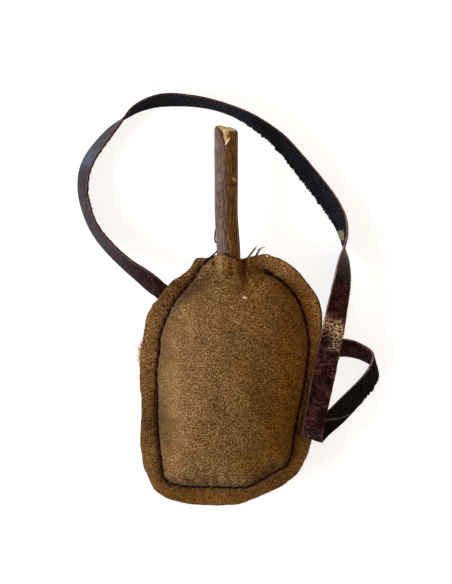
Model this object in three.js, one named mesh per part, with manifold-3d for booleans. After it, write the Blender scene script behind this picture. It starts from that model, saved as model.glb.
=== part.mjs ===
// Drum stick bag: a small stuffed suede bag lying on its back, a bark-covered
// stick standing in its mouth, and one long leather strap sewn into both side
// seams.  Millimetres, +Z up, +Y towards the tip of the stick, z = 0 is the
// surface the bag lies on.  Origin: bottom centre of the bag and its stick.
import * as THREE from 'three';
import { mergeVertices } from 'three/addons/utils/BufferGeometryUtils.js';
import Module from 'manifold-3d';

const wasm = await Module();
wasm.setup();

// ---------------------------------------------------------------- dimensions
const SEAM_Z = 12;          // height of the plane where the two panels meet
const GAP = 0.3;            // clearance between pieces that touch
const SUEDE_T = 1.2;        // suede thickness
const FRONT_RISE = 13.5;    // belly rise of the front panel, inside face
const BACK_RISE = 13.5;     // belly of the back panel before the rest flattens it
const BELLY_POWER = 2.4;    // how flat the belly is in the middle
const BELLY_EDGE = 0.62;    // how steeply it comes down to the seam
const SEAM_INSET = 2.2;     // from the stitch line to the foot of the belly
const CENTRE = [-1.20, -25.90];      // middle of the belly
const STICK_X = -0.90;               // stick axis, across the bag
const MOUTH_Y = 23.83;               // stick axis meets the mouth here
const STICK_TILT = 4 * Math.PI / 180; // the stick rises towards its tip
const STICK_R = 4.85;       // bark surface
const WOOD_R = 3.9;         // wood under the bark
const BARK_IN_R = 4.2;      // inside of the bark
const STICK_IN = 47;        // length held inside the bag
const STICK_OUT = 55.5;   // length standing out of the mouth
const FILL_EDGE = 0.86;     // stuffing stops short of the seam
const STRAP_W = 9.5;        // strap width
const STRAP_T = 1.0;        // strap thickness
const THREAD_R = 0.35;      // thread bead radius

// Direction (degrees) from CENTRE, cut edge radius and stitch line radius.
const ANG = [
  2.00, 8.00, 14.00, 20.00, 26.00, 32.00, 38.00, 44.00,
  50.00, 56.00, 62.00, 68.00, 69.25, 70.50, 71.75, 73.00,
  74.25, 75.50, 76.75, 78.00, 79.25, 80.50, 81.75, 83.00,
  84.25, 85.50, 86.75, 88.00, 89.25, 90.50, 91.75, 93.00,
  94.25, 95.50, 96.75, 98.00, 99.25, 100.50, 101.75, 103.00,
  104.00, 110.00, 116.00, 122.00, 128.00, 134.00, 140.00, 146.00,
  152.00, 158.00, 164.00, 170.00, 176.00, 182.00, 188.00, 194.00,
  200.00, 206.00, 212.00, 218.00, 224.00, 230.00, 236.00, 242.00,
  248.00, 254.00, 260.00, 266.00, 272.00, 278.00, 284.00, 290.00,
  296.00, 302.00, 308.00, 314.00, 320.00, 326.00, 332.00, 338.00,
  344.00, 350.00, 356.00];
const R_EDGE = [
  38.56, 39.16, 40.22, 41.64, 43.48, 45.70, 48.05, 49.59,
  50.55, 51.70, 52.64, 53.07, 53.18, 53.28, 53.26, 53.26,
  52.66, 52.05, 51.49, 50.87, 50.28, 49.79, 49.43, 49.10,
  48.78, 48.32, 48.27, 48.51, 48.80, 49.17, 49.57, 49.86,
  50.09, 50.35, 50.25, 50.10, 49.98, 50.01, 50.22, 50.40,
  50.44, 47.37, 46.01, 45.33, 43.98, 43.08, 42.41, 41.38,
  39.68, 38.51, 37.88, 37.24, 36.77, 36.77, 36.98, 37.22,
  38.23, 40.07, 42.65, 46.05, 49.38, 52.78, 55.87, 56.99,
  56.69, 55.72, 54.79, 54.09, 53.78, 53.00, 52.00, 51.40,
  51.20, 50.39, 49.05, 47.00, 44.71, 42.71, 41.00, 39.78,
  38.90, 38.46, 38.31];
const R_STITCH = [
  32.48, 33.23, 34.36, 35.97, 37.15, 38.64, 40.25, 41.95,
  43.49, 44.63, 45.37, 46.01, 46.16, 46.33, 46.35, 46.37,
  46.42, 46.49, 46.58, 46.69, 46.82, 46.98, 47.16, 47.37,
  47.60, 47.86, 48.14, 48.45, 48.78, 49.15, 49.54, 49.96,
  50.42, 50.90, 50.38, 49.75, 49.15, 48.54, 47.82, 47.13,
  46.61, 42.79, 40.49, 38.81, 37.25, 35.77, 34.38, 33.26,
  32.15, 30.86, 30.01, 29.82, 29.73, 29.70, 29.85, 30.41,
  31.33, 32.68, 34.50, 36.85, 39.75, 43.50, 48.22, 50.84,
  49.74, 48.37, 47.27, 46.78, 46.80, 46.97, 46.46, 45.43,
  44.89, 44.87, 42.33, 38.87, 36.20, 34.38, 33.10, 32.45,
  32.06, 31.92, 32.05];
// Stitch line in plan, from the left of the mouth round the bottom to the
// right of the mouth.
const STITCH = [
  [-10.42, 21.45], [-12.44, 19.37], [-14.01, 16.95], [-15.63, 14.56], [-17.46, 12.32], [-19.28, 10.08],
  [-21.10, 7.84], [-22.82, 5.52], [-24.37, 3.08], [-25.70, 0.52], [-26.88, -2.13], [-27.92, -4.82],
  [-28.85, -7.56], [-29.56, -10.34], [-29.74, -13.23], [-29.92, -16.11], [-30.28, -18.98], [-30.67, -21.84],
  [-30.95, -24.72], [-30.85, -27.60], [-30.76, -30.49], [-30.70, -33.38], [-30.65, -36.27], [-30.59, -39.16],
  [-30.53, -42.05], [-30.44, -44.94], [-30.31, -47.83], [-30.05, -50.71], [-29.78, -53.58], [-29.48, -56.46],
  [-29.15, -59.33], [-28.77, -62.20], [-28.32, -65.05], [-27.79, -67.89], [-26.24, -70.21], [-23.59, -71.25],
  [-20.77, -71.85], [-17.92, -72.35], [-15.03, -72.39], [-12.14, -72.39], [-9.25, -72.45], [-6.36, -72.52],
  [-3.47, -72.59], [-0.58, -72.64], [2.31, -72.70], [5.18, -72.43], [8.02, -71.98], [10.61, -70.70],
  [13.14, -69.30], [15.63, -67.83], [18.15, -66.42], [20.68, -65.03], [23.18, -63.58], [24.35, -60.94],
  [25.14, -58.17], [25.62, -55.32], [25.98, -52.45], [26.45, -49.60], [26.99, -46.76], [27.54, -43.93],
  [28.10, -41.09], [28.82, -38.29], [29.48, -35.48], [30.01, -32.64], [30.50, -29.79], [30.97, -26.94],
  [31.35, -24.07], [31.71, -21.20], [32.05, -18.33], [32.38, -15.46], [32.51, -12.59], [32.20, -9.71],
  [31.82, -6.85], [31.26, -4.02], [30.55, -1.22], [29.70, 1.54], [28.57, 4.20], [27.18, 6.73],
  [25.54, 9.11], [23.60, 11.24], [21.41, 13.12], [19.12, 14.88], [16.67, 16.41], [14.16, 17.83]];
// The strap's two long edges, end to end: from the left seam, round the loop,
// over the right edge of the bag, folded back, and into the right seam.
const STRAP_E1 = [
  [-25.95, 2.11, 12.00], [-30.86, 6.08, 12.00], [-35.23, 10.09, 8.75], [-39.75, 14.64, 6.67],
  [-44.78, 19.29, 5.22], [-49.66, 24.16, 3.88], [-53.66, 28.52, 2.63], [-57.07, 32.87, 1.52],
  [-59.67, 37.13, 0.55], [-61.89, 41.75, 0.55], [-63.51, 46.55, 0.55], [-64.74, 51.10, 0.55],
  [-65.21, 55.44, 0.55], [-65.17, 60.00, 0.55], [-64.44, 64.35, 0.55], [-62.77, 68.49, 0.55],
  [-60.66, 71.89, 0.55], [-57.66, 75.69, 0.55], [-54.73, 78.96, 0.55], [-51.54, 82.02, 0.55],
  [-48.43, 84.43, 0.55], [-45.22, 85.79, 0.55], [-42.14, 87.59, 0.55], [-39.36, 88.90, 0.55],
  [-35.93, 90.09, 0.55], [-31.22, 91.05, 0.55], [-26.50, 91.31, 0.55], [-21.78, 91.36, 0.55],
  [-17.06, 91.23, 0.55], [-12.33, 90.74, 0.55], [-7.61, 89.82, 0.55], [-2.89, 88.42, 0.55],
  [1.83, 86.40, 0.55], [6.54, 83.69, 0.55], [11.25, 80.27, 0.55], [15.95, 76.34, 0.55],
  [20.01, 72.19, 0.55], [24.05, 67.18, 0.55], [27.46, 62.70, 0.55], [30.98, 57.92, 0.55],
  [34.58, 53.23, 0.55], [37.97, 48.81, 0.55], [41.01, 44.43, 0.55], [43.33, 40.76, 0.55],
  [45.30, 36.92, 0.55], [46.79, 33.12, 0.83], [48.08, 29.23, 1.67], [49.25, 25.87, 3.06],
  [50.04, 21.73, 4.90], [50.42, 16.49, 7.10], [50.14, 11.31, 9.11], [49.50, 6.41, 10.88],
  [48.70, 1.34, 12.44], [47.84, -4.29, 13.66], [46.91, -10.06, 14.51], [45.76, -15.57, 15.08],
  [44.54, -21.23, 15.28], [43.38, -26.85, 15.29], [42.18, -32.27, 15.37], [41.00, -37.30, 15.90],
  [39.96, -41.90, 16.30], [38.91, -46.70, 16.80], [38.21, -50.43, 17.10], [37.92, -52.90, 16.90],
  [37.78, -54.04, 16.20], [37.85, -54.40, 15.40], [38.13, -53.98, 14.75], [38.90, -52.96, 14.35],
  [41.41, -50.46, 14.14], [44.47, -47.60, 11.32], [47.53, -44.76, 9.06], [50.75, -41.20, 6.42],
  [54.29, -37.19, 3.78], [57.36, -33.55, 1.66], [59.73, -30.62, 0.55], [61.32, -28.00, 0.55],
  [62.10, -25.58, 0.55], [62.16, -23.64, 0.55], [61.50, -22.11, 0.55], [60.07, -21.05, 0.55],
  [58.15, -19.82, 0.55], [54.92, -18.26, 0.98], [50.83, -17.34, 2.69], [46.48, -17.28, 5.19],
  [42.12, -18.38, 8.32], [37.76, -19.83, 12.00], [32.34, -20.25, 12.00]];
const STRAP_E2 = [
  [-21.95, 8.19, 12.00], [-26.87, 12.17, 12.00], [-31.93, 15.89, 14.05], [-36.54, 18.92, 14.13],
  [-41.19, 21.83, 13.38], [-46.08, 25.98, 12.32], [-50.16, 29.91, 11.17], [-53.41, 34.10, 10.08],
  [-55.89, 37.09, 9.11], [-57.96, 41.59, 9.06], [-59.39, 45.68, 8.95], [-60.41, 49.79, 8.81],
  [-60.79, 53.69, 8.62], [-60.38, 57.61, 8.37], [-59.66, 61.31, 8.18], [-58.30, 65.07, 8.15],
  [-56.33, 68.34, 8.21], [-53.97, 71.77, 8.38], [-51.69, 75.22, 8.64], [-48.94, 78.44, 8.96],
  [-46.91, 81.69, 9.36], [-45.04, 83.92, 9.67], [-43.10, 87.80, 9.78], [-40.61, 89.77, 9.73],
  [-36.89, 92.06, 9.57], [-31.68, 94.07, 9.37], [-26.41, 94.70, 9.27], [-21.34, 94.42, 9.34],
  [-16.41, 93.65, 9.48], [-11.39, 92.80, 9.57], [-6.37, 91.49, 9.61], [-1.27, 89.88, 9.59],
  [3.75, 88.04, 9.49], [8.72, 85.91, 9.30], [13.81, 83.11, 9.03], [18.78, 79.76, 8.69],
  [23.57, 76.07, 8.30], [28.10, 71.03, 7.99], [31.91, 66.72, 7.69], [35.72, 62.15, 7.43],
  [39.59, 57.39, 7.31], [43.20, 52.50, 7.42], [46.19, 47.44, 7.76], [48.24, 42.80, 8.30],
  [49.18, 37.80, 8.96], [49.06, 32.87, 9.77], [47.53, 27.94, 10.73], [46.16, 25.14, 11.74],
  [44.99, 21.68, 12.70], [43.64, 16.57, 13.70], [42.32, 11.39, 14.49], [41.04, 6.33, 15.12],
  [39.69, 1.22, 15.56], [38.61, -3.92, 15.74], [37.47, -9.34, 15.49], [36.20, -14.63, 15.32],
  [34.87, -20.19, 15.32], [33.84, -25.42, 15.51], [32.85, -30.86, 15.83], [31.90, -36.06, 15.90],
  [31.04, -40.86, 16.30], [30.25, -45.04, 16.80], [29.69, -47.96, 17.10], [29.40, -50.21, 16.90],
  [29.29, -51.36, 16.20], [29.36, -51.71, 15.40], [29.72, -51.25, 14.75], [30.44, -50.31, 14.35],
  [33.62, -47.09, 14.96], [37.47, -43.35, 15.38], [41.32, -39.85, 14.14], [45.36, -35.75, 11.98],
  [49.08, -32.21, 9.82], [52.51, -28.82, 8.14], [55.13, -26.02, 7.37], [56.97, -23.70, 7.69],
  [58.31, -21.37, 8.00], [59.41, -19.04, 8.17], [59.76, -17.01, 8.16], [59.08, -15.48, 8.01],
  [57.30, -13.95, 7.86], [54.61, -12.43, 8.22], [51.22, -11.21, 9.71], [47.06, -10.72, 11.61],
  [42.37, -10.83, 12.88], [37.82, -10.93, 12.00], [32.39, -11.19, 12.00]];

// -------------------------------------------------------------------- helpers
const RAD = Math.PI / 180;
const clamp = (v, a, b) => Math.min(b, Math.max(a, v));
const smooth = (v, a, b) => { const t = clamp((v - a) / (b - a), 0, 1); return t * t * (3 - 2 * t); };

function meshOf(verts, tris) {
  const g = new THREE.BufferGeometry();
  g.setAttribute('position', new THREE.Float32BufferAttribute(verts.flat(), 3));
  g.setIndex(tris.flat());
  return g;
}
function toSolid(geometry) {
  const bare = new THREE.BufferGeometry();
  bare.setAttribute('position', geometry.getAttribute('position').clone());
  if (geometry.index) bare.setIndex(geometry.index.clone());
  const g = mergeVertices(bare, 1e-5);
  return new wasm.Manifold(new wasm.Mesh({
    numProp: 3,
    vertProperties: new Float32Array(g.getAttribute('position').array),
    triVerts: new Uint32Array(g.index.array),
  }));
}
function toGeometry(solid) {
  const m = solid.getMesh();
  const g = new THREE.BufferGeometry();
  const p = new Float32Array(m.numVert * 3);
  for (let i = 0; i < m.numVert; i++) for (let k = 0; k < 3; k++) p[3 * i + k] = m.vertProperties[m.numProp * i + k];
  g.setAttribute('position', new THREE.BufferAttribute(p, 3));
  g.setIndex(new THREE.BufferAttribute(new Uint32Array(m.triVerts), 1));
  return g;
}
function largest(solid) {
  return solid.decompose().sort((a, b) => b.volume() - a.volume())[0];
}
function lookup(table, deg) {
  let a = ((deg % 360) + 360) % 360;
  if (a < ANG[0]) a += 360;
  const n = ANG.length;
  for (let i = 0; i < n; i++) {
    const lo = ANG[i], hi = i + 1 < n ? ANG[i + 1] : ANG[0] + 360;
    if (a >= lo && a <= hi) {
      const t = (a - lo) / (hi - lo);
      return table[i] * (1 - t) + table[(i + 1) % n] * t;
    }
  }
  return table[0];
}
const R_SEAM = R_STITCH.map((r, i) => Math.min(r, R_EDGE[i] - 0.8));
const R_BELLY = R_SEAM.map((r) => r - SEAM_INSET);

// ------------------------------------------------------- shape of the panels
// The mouth: suede tented over the stick, steep on its left, slack on its right.
const TENT = [[-6.6, 0], [-5.2, 1.9], [-4.4, 3.5], [-2.7, 5.0], [0, 5.35], [2.7, 5.0],
  [4.7, 3.6], [7.2, 2.0], [10.5, 0.8], [15.5, 0]];
function tent(x) {
  const d = x - STICK_X;
  if (d <= TENT[0][0] || d >= TENT[TENT.length - 1][0]) return 0;
  for (let i = 1; i < TENT.length; i++) {
    if (d <= TENT[i][0]) {
      const t = (d - TENT[i - 1][0]) / (TENT[i][0] - TENT[i - 1][0]);
      return TENT[i - 1][1] * (1 - t) + TENT[i][1] * t;
    }
  }
  return 0;
}
function belly(x, y, rise) {
  const dx = x - CENTRE[0], dy = y - CENTRE[1];
  const u = Math.hypot(dx, dy) / lookup(R_BELLY, Math.atan2(dy, dx) / RAD);
  return u >= 1 ? 0 : rise * Math.pow(1 - Math.pow(u, BELLY_POWER), BELLY_EDGE);
}
function inner(x, y, rise, limit, deeper) {
  const b = belly(x, y, rise);
  const t = (tent(x) + (tent(x) > 0 ? deeper * tent(x) / 5.35 : 0)) * smooth(y - CENTRE[1], 14, 26);
  const h = Math.pow(Math.pow(b, 4) + Math.pow(t, 4), 0.25);
  return Math.min(h, limit);
}
// Outside face: the inside face grown by the suede's thickness.
function outer(x, y, rise, limit, deeper) {
  let best = inner(x, y, rise, limit, deeper) + SUEDE_T;
  for (const f of [0.45, 0.75, 0.95]) {
    const up = SUEDE_T * Math.sqrt(1 - f * f);
    for (let k = 0; k < 12; k++) {
      const a = k * Math.PI / 6;
      const h = inner(x + f * SUEDE_T * Math.cos(a), y + f * SUEDE_T * Math.sin(a), rise, limit, deeper) + up;
      if (h > best) best = h;
    }
  }
  return best;
}
// A closed solid between two height functions over rings round CENTRE.
function ringSolid(rings, top, bottom) {
  const n = rings[0].length, verts = [], tris = [];
  const put = (f) => {
    const at = verts.length;
    verts.push([CENTRE[0], CENTRE[1], f(CENTRE[0], CENTRE[1])]);
    for (const ring of rings) for (const [x, y] of ring) verts.push([x, y, f(x, y)]);
    return at;
  };
  const a = put(top), b = put(bottom);
  for (let j = 0; j < n; j++) {
    const k = (j + 1) % n;
    tris.push([a, a + 1 + j, a + 1 + k], [b, b + 1 + k, b + 1 + j]);
    for (let r = 0; r + 1 < rings.length; r++) {
      const p = 1 + r * n, q = 1 + (r + 1) * n;
      tris.push([a + p + j, a + q + j, a + q + k], [a + p + j, a + q + k, a + p + k]);
      tris.push([b + p + j, b + q + k, b + q + j], [b + p + j, b + p + k, b + q + k]);
    }
    const o = 1 + (rings.length - 1) * n;
    tris.push([a + o + j, b + o + j, b + o + k], [a + o + j, b + o + k, a + o + k]);
  }
  return meshOf(verts, tris);
}
function ringAt(fn, step = 1) {
  const out = [];
  for (let i = 0; i < ANG.length; i += step) {
    const r = fn(i), a = ANG[i] * RAD;
    out.push([CENTRE[0] + r * Math.cos(a), CENTRE[1] + r * Math.sin(a)]);
  }
  return out;
}
const panelRings = [0.34, 0.6, 0.78, 0.9, 0.965, 1.0].map((u) => ringAt((i) => u * R_BELLY[i]));
panelRings.push(ringAt((i) => R_SEAM[i] - 0.5));
panelRings.push(ringAt((i) => R_EDGE[i]));

// Stick frame: origin at the mouth on the stick's axis, local +Y along it.
const stickFrame = new THREE.Matrix4()
  .makeTranslation(STICK_X, MOUTH_Y, SEAM_Z)
  .multiply(new THREE.Matrix4().makeRotationX(STICK_TILT));
function cylinder(radius, from, to, sides) {
  const g = new THREE.CylinderGeometry(radius, radius, to - from, sides, 1);
  g.translate(0, (from + to) / 2, 0);
  g.applyMatrix4(stickFrame);
  return toSolid(g);
}
const stickRoom = cylinder((STICK_R + GAP) / Math.cos(Math.PI / 24), -STICK_IN - 1, 40, 24);

// A flat band between two edges, with its thickness across the face.
function band(e1, e2, thick, grow) {
  const n = e1.length, verts = [], tris = [];
  for (let i = 0; i < n; i++) {
    const a = new THREE.Vector3(...e1[i]), b = new THREE.Vector3(...e2[i]);
    const p = Math.max(0, i - 1), q = Math.min(n - 1, i + 1);
    const t = new THREE.Vector3(
      e1[q][0] + e2[q][0] - e1[p][0] - e2[p][0],
      e1[q][1] + e2[q][1] - e1[p][1] - e2[p][1],
      e1[q][2] + e2[q][2] - e1[p][2] - e2[p][2]).normalize();
    const w = b.clone().sub(a).normalize();
    const up = t.clone().cross(w).normalize().multiplyScalar(thick / 2);
    const side = w.multiplyScalar(grow);
    const lo = a.clone().sub(side), hi = b.clone().add(side);
    for (const v of [lo.clone().sub(up), hi.clone().sub(up), hi.clone().add(up), lo.clone().add(up)]) verts.push([v.x, v.y, v.z]);
  }
  for (let i = 0; i + 1 < n; i++) {
    const o = 4 * i;
    for (let k = 0; k < 4; k++) {
      const l = (k + 1) % 4;
      tris.push([o + k, o + l, o + 4 + l], [o + k, o + 4 + l, o + 4 + k]);
    }
  }
  const e = 4 * (n - 1);
  tris.push([0, 2, 1], [0, 3, 2], [e, e + 1, e + 2], [e, e + 2, e + 3]);
  return meshOf(verts, tris);
}
// Room for a strap end between the panels.
function pocket(ends) {
  const [i, j, k] = ends;   // strap end, at the cut edge, beyond it
  const flat = (e) => {
    const a = e[i], b = e[j], dx = b[0] - a[0], dy = b[1] - a[1], l = Math.hypot(dx, dy);
    return [
      [a[0] - dx / l * 0.8, a[1] - dy / l * 0.8, SEAM_Z],
      [b[0], b[1], SEAM_Z],
      [b[0] + dx / l * k, b[1] + dy / l * k, SEAM_Z]];
  };
  return toSolid(band(flat(STRAP_E1), flat(STRAP_E2), STRAP_T + 2 * GAP, GAP));
}
const last = STRAP_E1.length - 1;
const around = (i, j) => toSolid(band(STRAP_E1.slice(i, j), STRAP_E2.slice(i, j), STRAP_T + 2 * GAP, GAP));
const leftPocket = pocket([0, 1, 4]).add(around(0, 4));
const rightPocket = pocket([last, last - 1, 5]).add(around(last - 3, last + 1));

// A closed round bead along a polyline.
function bead(points, radius, sides) {
  const n = points.length, verts = [], tris = [];
  for (let i = 0; i < n; i++) {
    const p = points[Math.max(0, i - 1)], q = points[Math.min(n - 1, i + 1)];
    const t = new THREE.Vector3(q[0] - p[0], q[1] - p[1], q[2] - p[2]).normalize();
    const s = new THREE.Vector3(t.y, -t.x, 0).normalize();
    const v = s.clone().cross(t).normalize();
    for (let k = 0; k < sides; k++) {
      const a = 2 * Math.PI * k / sides;
      verts.push([
        points[i][0] + radius * (Math.cos(a) * s.x + Math.sin(a) * v.x),
        points[i][1] + radius * (Math.cos(a) * s.y + Math.sin(a) * v.y),
        points[i][2] + radius * (Math.cos(a) * s.z + Math.sin(a) * v.z)]);
    }
  }
  for (let i = 0; i + 1 < n; i++) for (let k = 0; k < sides; k++) {
    const l = (k + 1) % sides, o = i * sides;
    tris.push([o + k, o + sides + l, o + l], [o + k, o + sides + k, o + sides + l]);
  }
  const a = verts.length;
  verts.push([...points[0]], [...points[n - 1]]);
  const o = (n - 1) * sides;
  for (let k = 0; k < sides; k++) {
    const l = (k + 1) % sides;
    tris.push([a, k, l], [a + 1, o + l, o + k]);
  }
  return meshOf(verts, tris);
}

// --------------------------------------------------------------------- pieces
const group = new THREE.Group();
group.name = 'drum_stick_bag';
function add(name, solidOrGeometry, color, roughness) {
  let solid = solidOrGeometry.isBufferGeometry ? toSolid(solidOrGeometry) : solidOrGeometry;
  if (solid.volume() < 0) throw new Error(name + ' is inside out');
  solid = largest(solid);
  const mesh = new THREE.Mesh(toGeometry(solid), new THREE.MeshStandardMaterial({ color, roughness, metalness: 0 }));
  mesh.name = name;
  mesh.material.name = name;
  group.add(mesh);
}

// Front and back suede panels: sewn round the edge, open at the mouth.
const REST = SEAM_Z - GAP / 2 - SUEDE_T;
const front = toSolid(ringSolid(panelRings,
  (x, y) => SEAM_Z + GAP / 2 + outer(x, y, FRONT_RISE, 99, 0),
  (x, y) => SEAM_Z + GAP / 2 + inner(x, y, FRONT_RISE, 99, 0)));
const back = toSolid(ringSolid(panelRings,
  (x, y) => SEAM_Z - GAP / 2 - inner(x, y, BACK_RISE, REST, 0.5),
  (x, y) => SEAM_Z - GAP / 2 - outer(x, y, BACK_RISE, REST, 0.5)));
add('front_panel', front.subtract(stickRoom).subtract(leftPocket).subtract(rightPocket), 0x6f4c28, 0.95);
add('back_panel', back.subtract(stickRoom).subtract(leftPocket).subtract(rightPocket), 0x6a4724, 0.95);

// Stuffing, with the hole the stick is pushed into.
const fillRings = [0.36, 0.62, 0.78, FILL_EDGE].map((u) => ringAt((i) => u * R_BELLY[i], 2));
const fill = toSolid(ringSolid(fillRings,
  (x, y) => SEAM_Z + GAP / 2 + inner(x, y, FRONT_RISE, 99, 0) - 0.45,
  (x, y) => SEAM_Z - GAP / 2 - inner(x, y, BACK_RISE, REST, 0.5) + 0.45));
add('fibre_filling', fill.subtract(stickRoom), 0xe8e2d4, 1.0);

// Stick: wood inside a sleeve of bark, cut across at a slant at the tip, the
// bark peeled away in a V just below the cut.
const tipCut = new THREE.BoxGeometry(30, 20, 30);
tipCut.translate(0, 10, 0);
tipCut.applyMatrix4(new THREE.Matrix4().makeTranslation(0, STICK_OUT - 1.9, 0)
  .multiply(new THREE.Matrix4().makeRotationX(22 * RAD)));
tipCut.applyMatrix4(stickFrame);
const tip = toSolid(tipCut);
const wood = cylinder(WOOD_R, -STICK_IN + 0.4, STICK_OUT, 24).subtract(tip);
add('stick_wood', wood, 0xb59868, 0.75);
const notchShape = new THREE.Shape([[-2.1, 4], [2.1, 4], [0.35, -4.6], [-0.35, -4.6]].map((p) => new THREE.Vector2(...p)));
const notchGeo = new THREE.ExtrudeGeometry(notchShape, { depth: 6, bevelEnabled: false });
notchGeo.translate(-0.7, STICK_OUT - 3.4, 2.4);
notchGeo.applyMatrix4(stickFrame);
const bark = cylinder(STICK_R, -STICK_IN, STICK_OUT, 24)
  .subtract(cylinder(BARK_IN_R / Math.cos(Math.PI / 24), -STICK_IN - 2, STICK_OUT + 2, 24))
  .subtract(tip).subtract(toSolid(notchGeo));
add('stick_bark', bark, 0x6a4a32, 0.85);

// Threads: the lockstitch's two threads, one on each face of the flange.
const beadZ = GAP / 2 + SUEDE_T + GAP + THREAD_R;
add('needle_thread', bead(STITCH.map(([x, y]) => [x, y, SEAM_Z + beadZ]), THREAD_R, 5), 0x1a0d12, 0.7);
add('bobbin_thread', bead(STITCH.map(([x, y]) => [x, y, SEAM_Z - beadZ]), THREAD_R, 5), 0x1a0d12, 0.7);

// Strap: one flat leather band.
add('strap', band(STRAP_E1, STRAP_E2, STRAP_T, 0), 0x2c1110, 0.35);

export default group;
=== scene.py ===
import math

import bpy
import numpy as np
from mathutils import Matrix, Vector


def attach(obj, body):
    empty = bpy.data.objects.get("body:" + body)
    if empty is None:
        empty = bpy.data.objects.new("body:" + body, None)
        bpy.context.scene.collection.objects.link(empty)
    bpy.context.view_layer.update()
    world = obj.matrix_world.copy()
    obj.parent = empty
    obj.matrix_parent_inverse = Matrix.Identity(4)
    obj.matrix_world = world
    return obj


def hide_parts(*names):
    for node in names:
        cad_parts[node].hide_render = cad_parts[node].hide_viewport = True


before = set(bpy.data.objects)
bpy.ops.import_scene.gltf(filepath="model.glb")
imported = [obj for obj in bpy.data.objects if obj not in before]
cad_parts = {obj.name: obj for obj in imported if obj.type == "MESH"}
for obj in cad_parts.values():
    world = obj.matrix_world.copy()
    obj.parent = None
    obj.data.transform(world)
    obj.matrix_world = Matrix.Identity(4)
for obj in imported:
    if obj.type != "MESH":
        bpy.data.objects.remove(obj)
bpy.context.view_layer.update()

# A small stuffed suede bag on its back, a bark-covered stick in its mouth, and
# one long flat leather strap sewn into both side seams.  Shapes are worked out
# in millimetres in the row frame and turned into metres when meshes are made.
MM = 0.001
SEAM_Z = 12.0            # height of the plane where the two panels meet
GAP = 0.3
SUEDE_T = 1.2
FRONT_RISE = 13.3
BACK_RISE = 13.3
CENTRE = np.array([-1.20, -25.90])
STICK_X = -0.90
MOUTH_Y = 23.83
STICK_TILT = math.radians(4)
STICK_R = 4.85
STICK_IN = 47.0
STICK_OUT = 55.5
STRAP_T = 1.0

# cut edge of the front panel, in plan
OUTLINE = np.array([
  [-6.22, 24.25], [-7.90, 23.78], [-9.82, 23.27], [-12.21, 23.27], [-14.85, 22.77], [-17.02, 18.95],
  [-20.44, 15.99], [-23.78, 14.05], [-26.37, 11.34], [-30.65, 5.56], [-32.52, 3.75], [-33.76, 1.22],
  [-34.59, -0.04], [-35.41, -2.15], [-35.82, -4.67], [-36.22, -7.19], [-36.62, -9.71], [-37.03, -12.23],
  [-37.63, -15.58], [-37.90, -19.76], [-37.87, -24.78], [-37.98, -28.12], [-37.75, -32.29], [-37.32, -34.79],
  [-37.08, -39.78], [-37.26, -44.77], [-37.40, -49.74], [-37.50, -54.71], [-37.19, -57.19], [-36.77, -59.67],
  [-36.50, -62.56], [-35.91, -65.04], [-34.66, -67.10], [-33.82, -69.57], [-32.57, -72.04], [-30.91, -74.31],
  [-26.78, -76.98], [-22.65, -78.41], [-17.70, -79.36], [-11.93, -79.85], [-2.03, -79.85], [3.33, -79.44],
  [9.93, -76.98], [15.71, -74.51], [21.08, -72.04], [24.39, -69.57], [27.29, -67.10], [28.96, -64.63],
  [30.21, -62.15], [31.46, -59.67], [32.30, -57.19], [33.14, -54.30], [34.42, -48.91], [35.71, -40.61],
  [36.71, -32.29], [37.39, -23.95], [37.86, -15.58], [37.98, -9.29], [37.80, -4.67], [37.61, -2.15],
  [37.21, 1.64], [36.19, 5.43], [34.33, 8.81], [30.18, 14.30], [25.47, 19.38], [21.00, 22.13],
  [16.82, 24.25], [14.31, 25.06], [10.54, 24.21], [7.43, 23.27], [3.83, 22.68], [2.16, 22.13],
  [-0.19, 22.77], [-3.08, 23.78]])
# stitch line in plan, from the left of the mouth round the bottom to the right
STITCH = np.array([
  [-6.22, 24.82], [-9.82, 22.07], [-12.49, 19.32], [-15.21, 15.09], [-19.16, 10.23], [-22.24, 6.43],
  [-24.36, 3.10], [-26.02, -0.10], [-27.26, -3.04], [-28.50, -6.40], [-29.53, -9.76], [-29.76, -13.53],
  [-29.99, -17.30], [-30.56, -20.64], [-30.96, -24.82], [-30.77, -29.83], [-30.66, -35.66], [-30.55, -41.48],
  [-30.36, -47.29], [-29.84, -53.08], [-29.32, -58.05], [-28.55, -63.82], [-27.62, -68.77], [-25.96, -70.50],
  [-22.83, -71.49], [-17.71, -72.39], [-11.93, -72.39], [-4.92, -72.56], [3.08, -72.72], [7.87, -72.06],
  [11.58, -70.21], [16.13, -67.53], [20.47, -65.14], [23.16, -63.62], [24.54, -60.52], [25.38, -57.22],
  [26.11, -51.43], [27.04, -46.46], [28.10, -41.06], [29.29, -36.49], [30.22, -31.49], [31.04, -26.49],
  [31.73, -21.06], [32.17, -17.30], [32.60, -13.53], [32.21, -9.76], [31.73, -6.15], [30.91, -2.41],
  [29.68, 1.59], [28.15, 5.17], [26.58, 7.70], [24.71, 10.23], [22.63, 12.13], [20.34, 13.99],
  [18.25, 15.51], [14.16, 17.83]])
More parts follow.
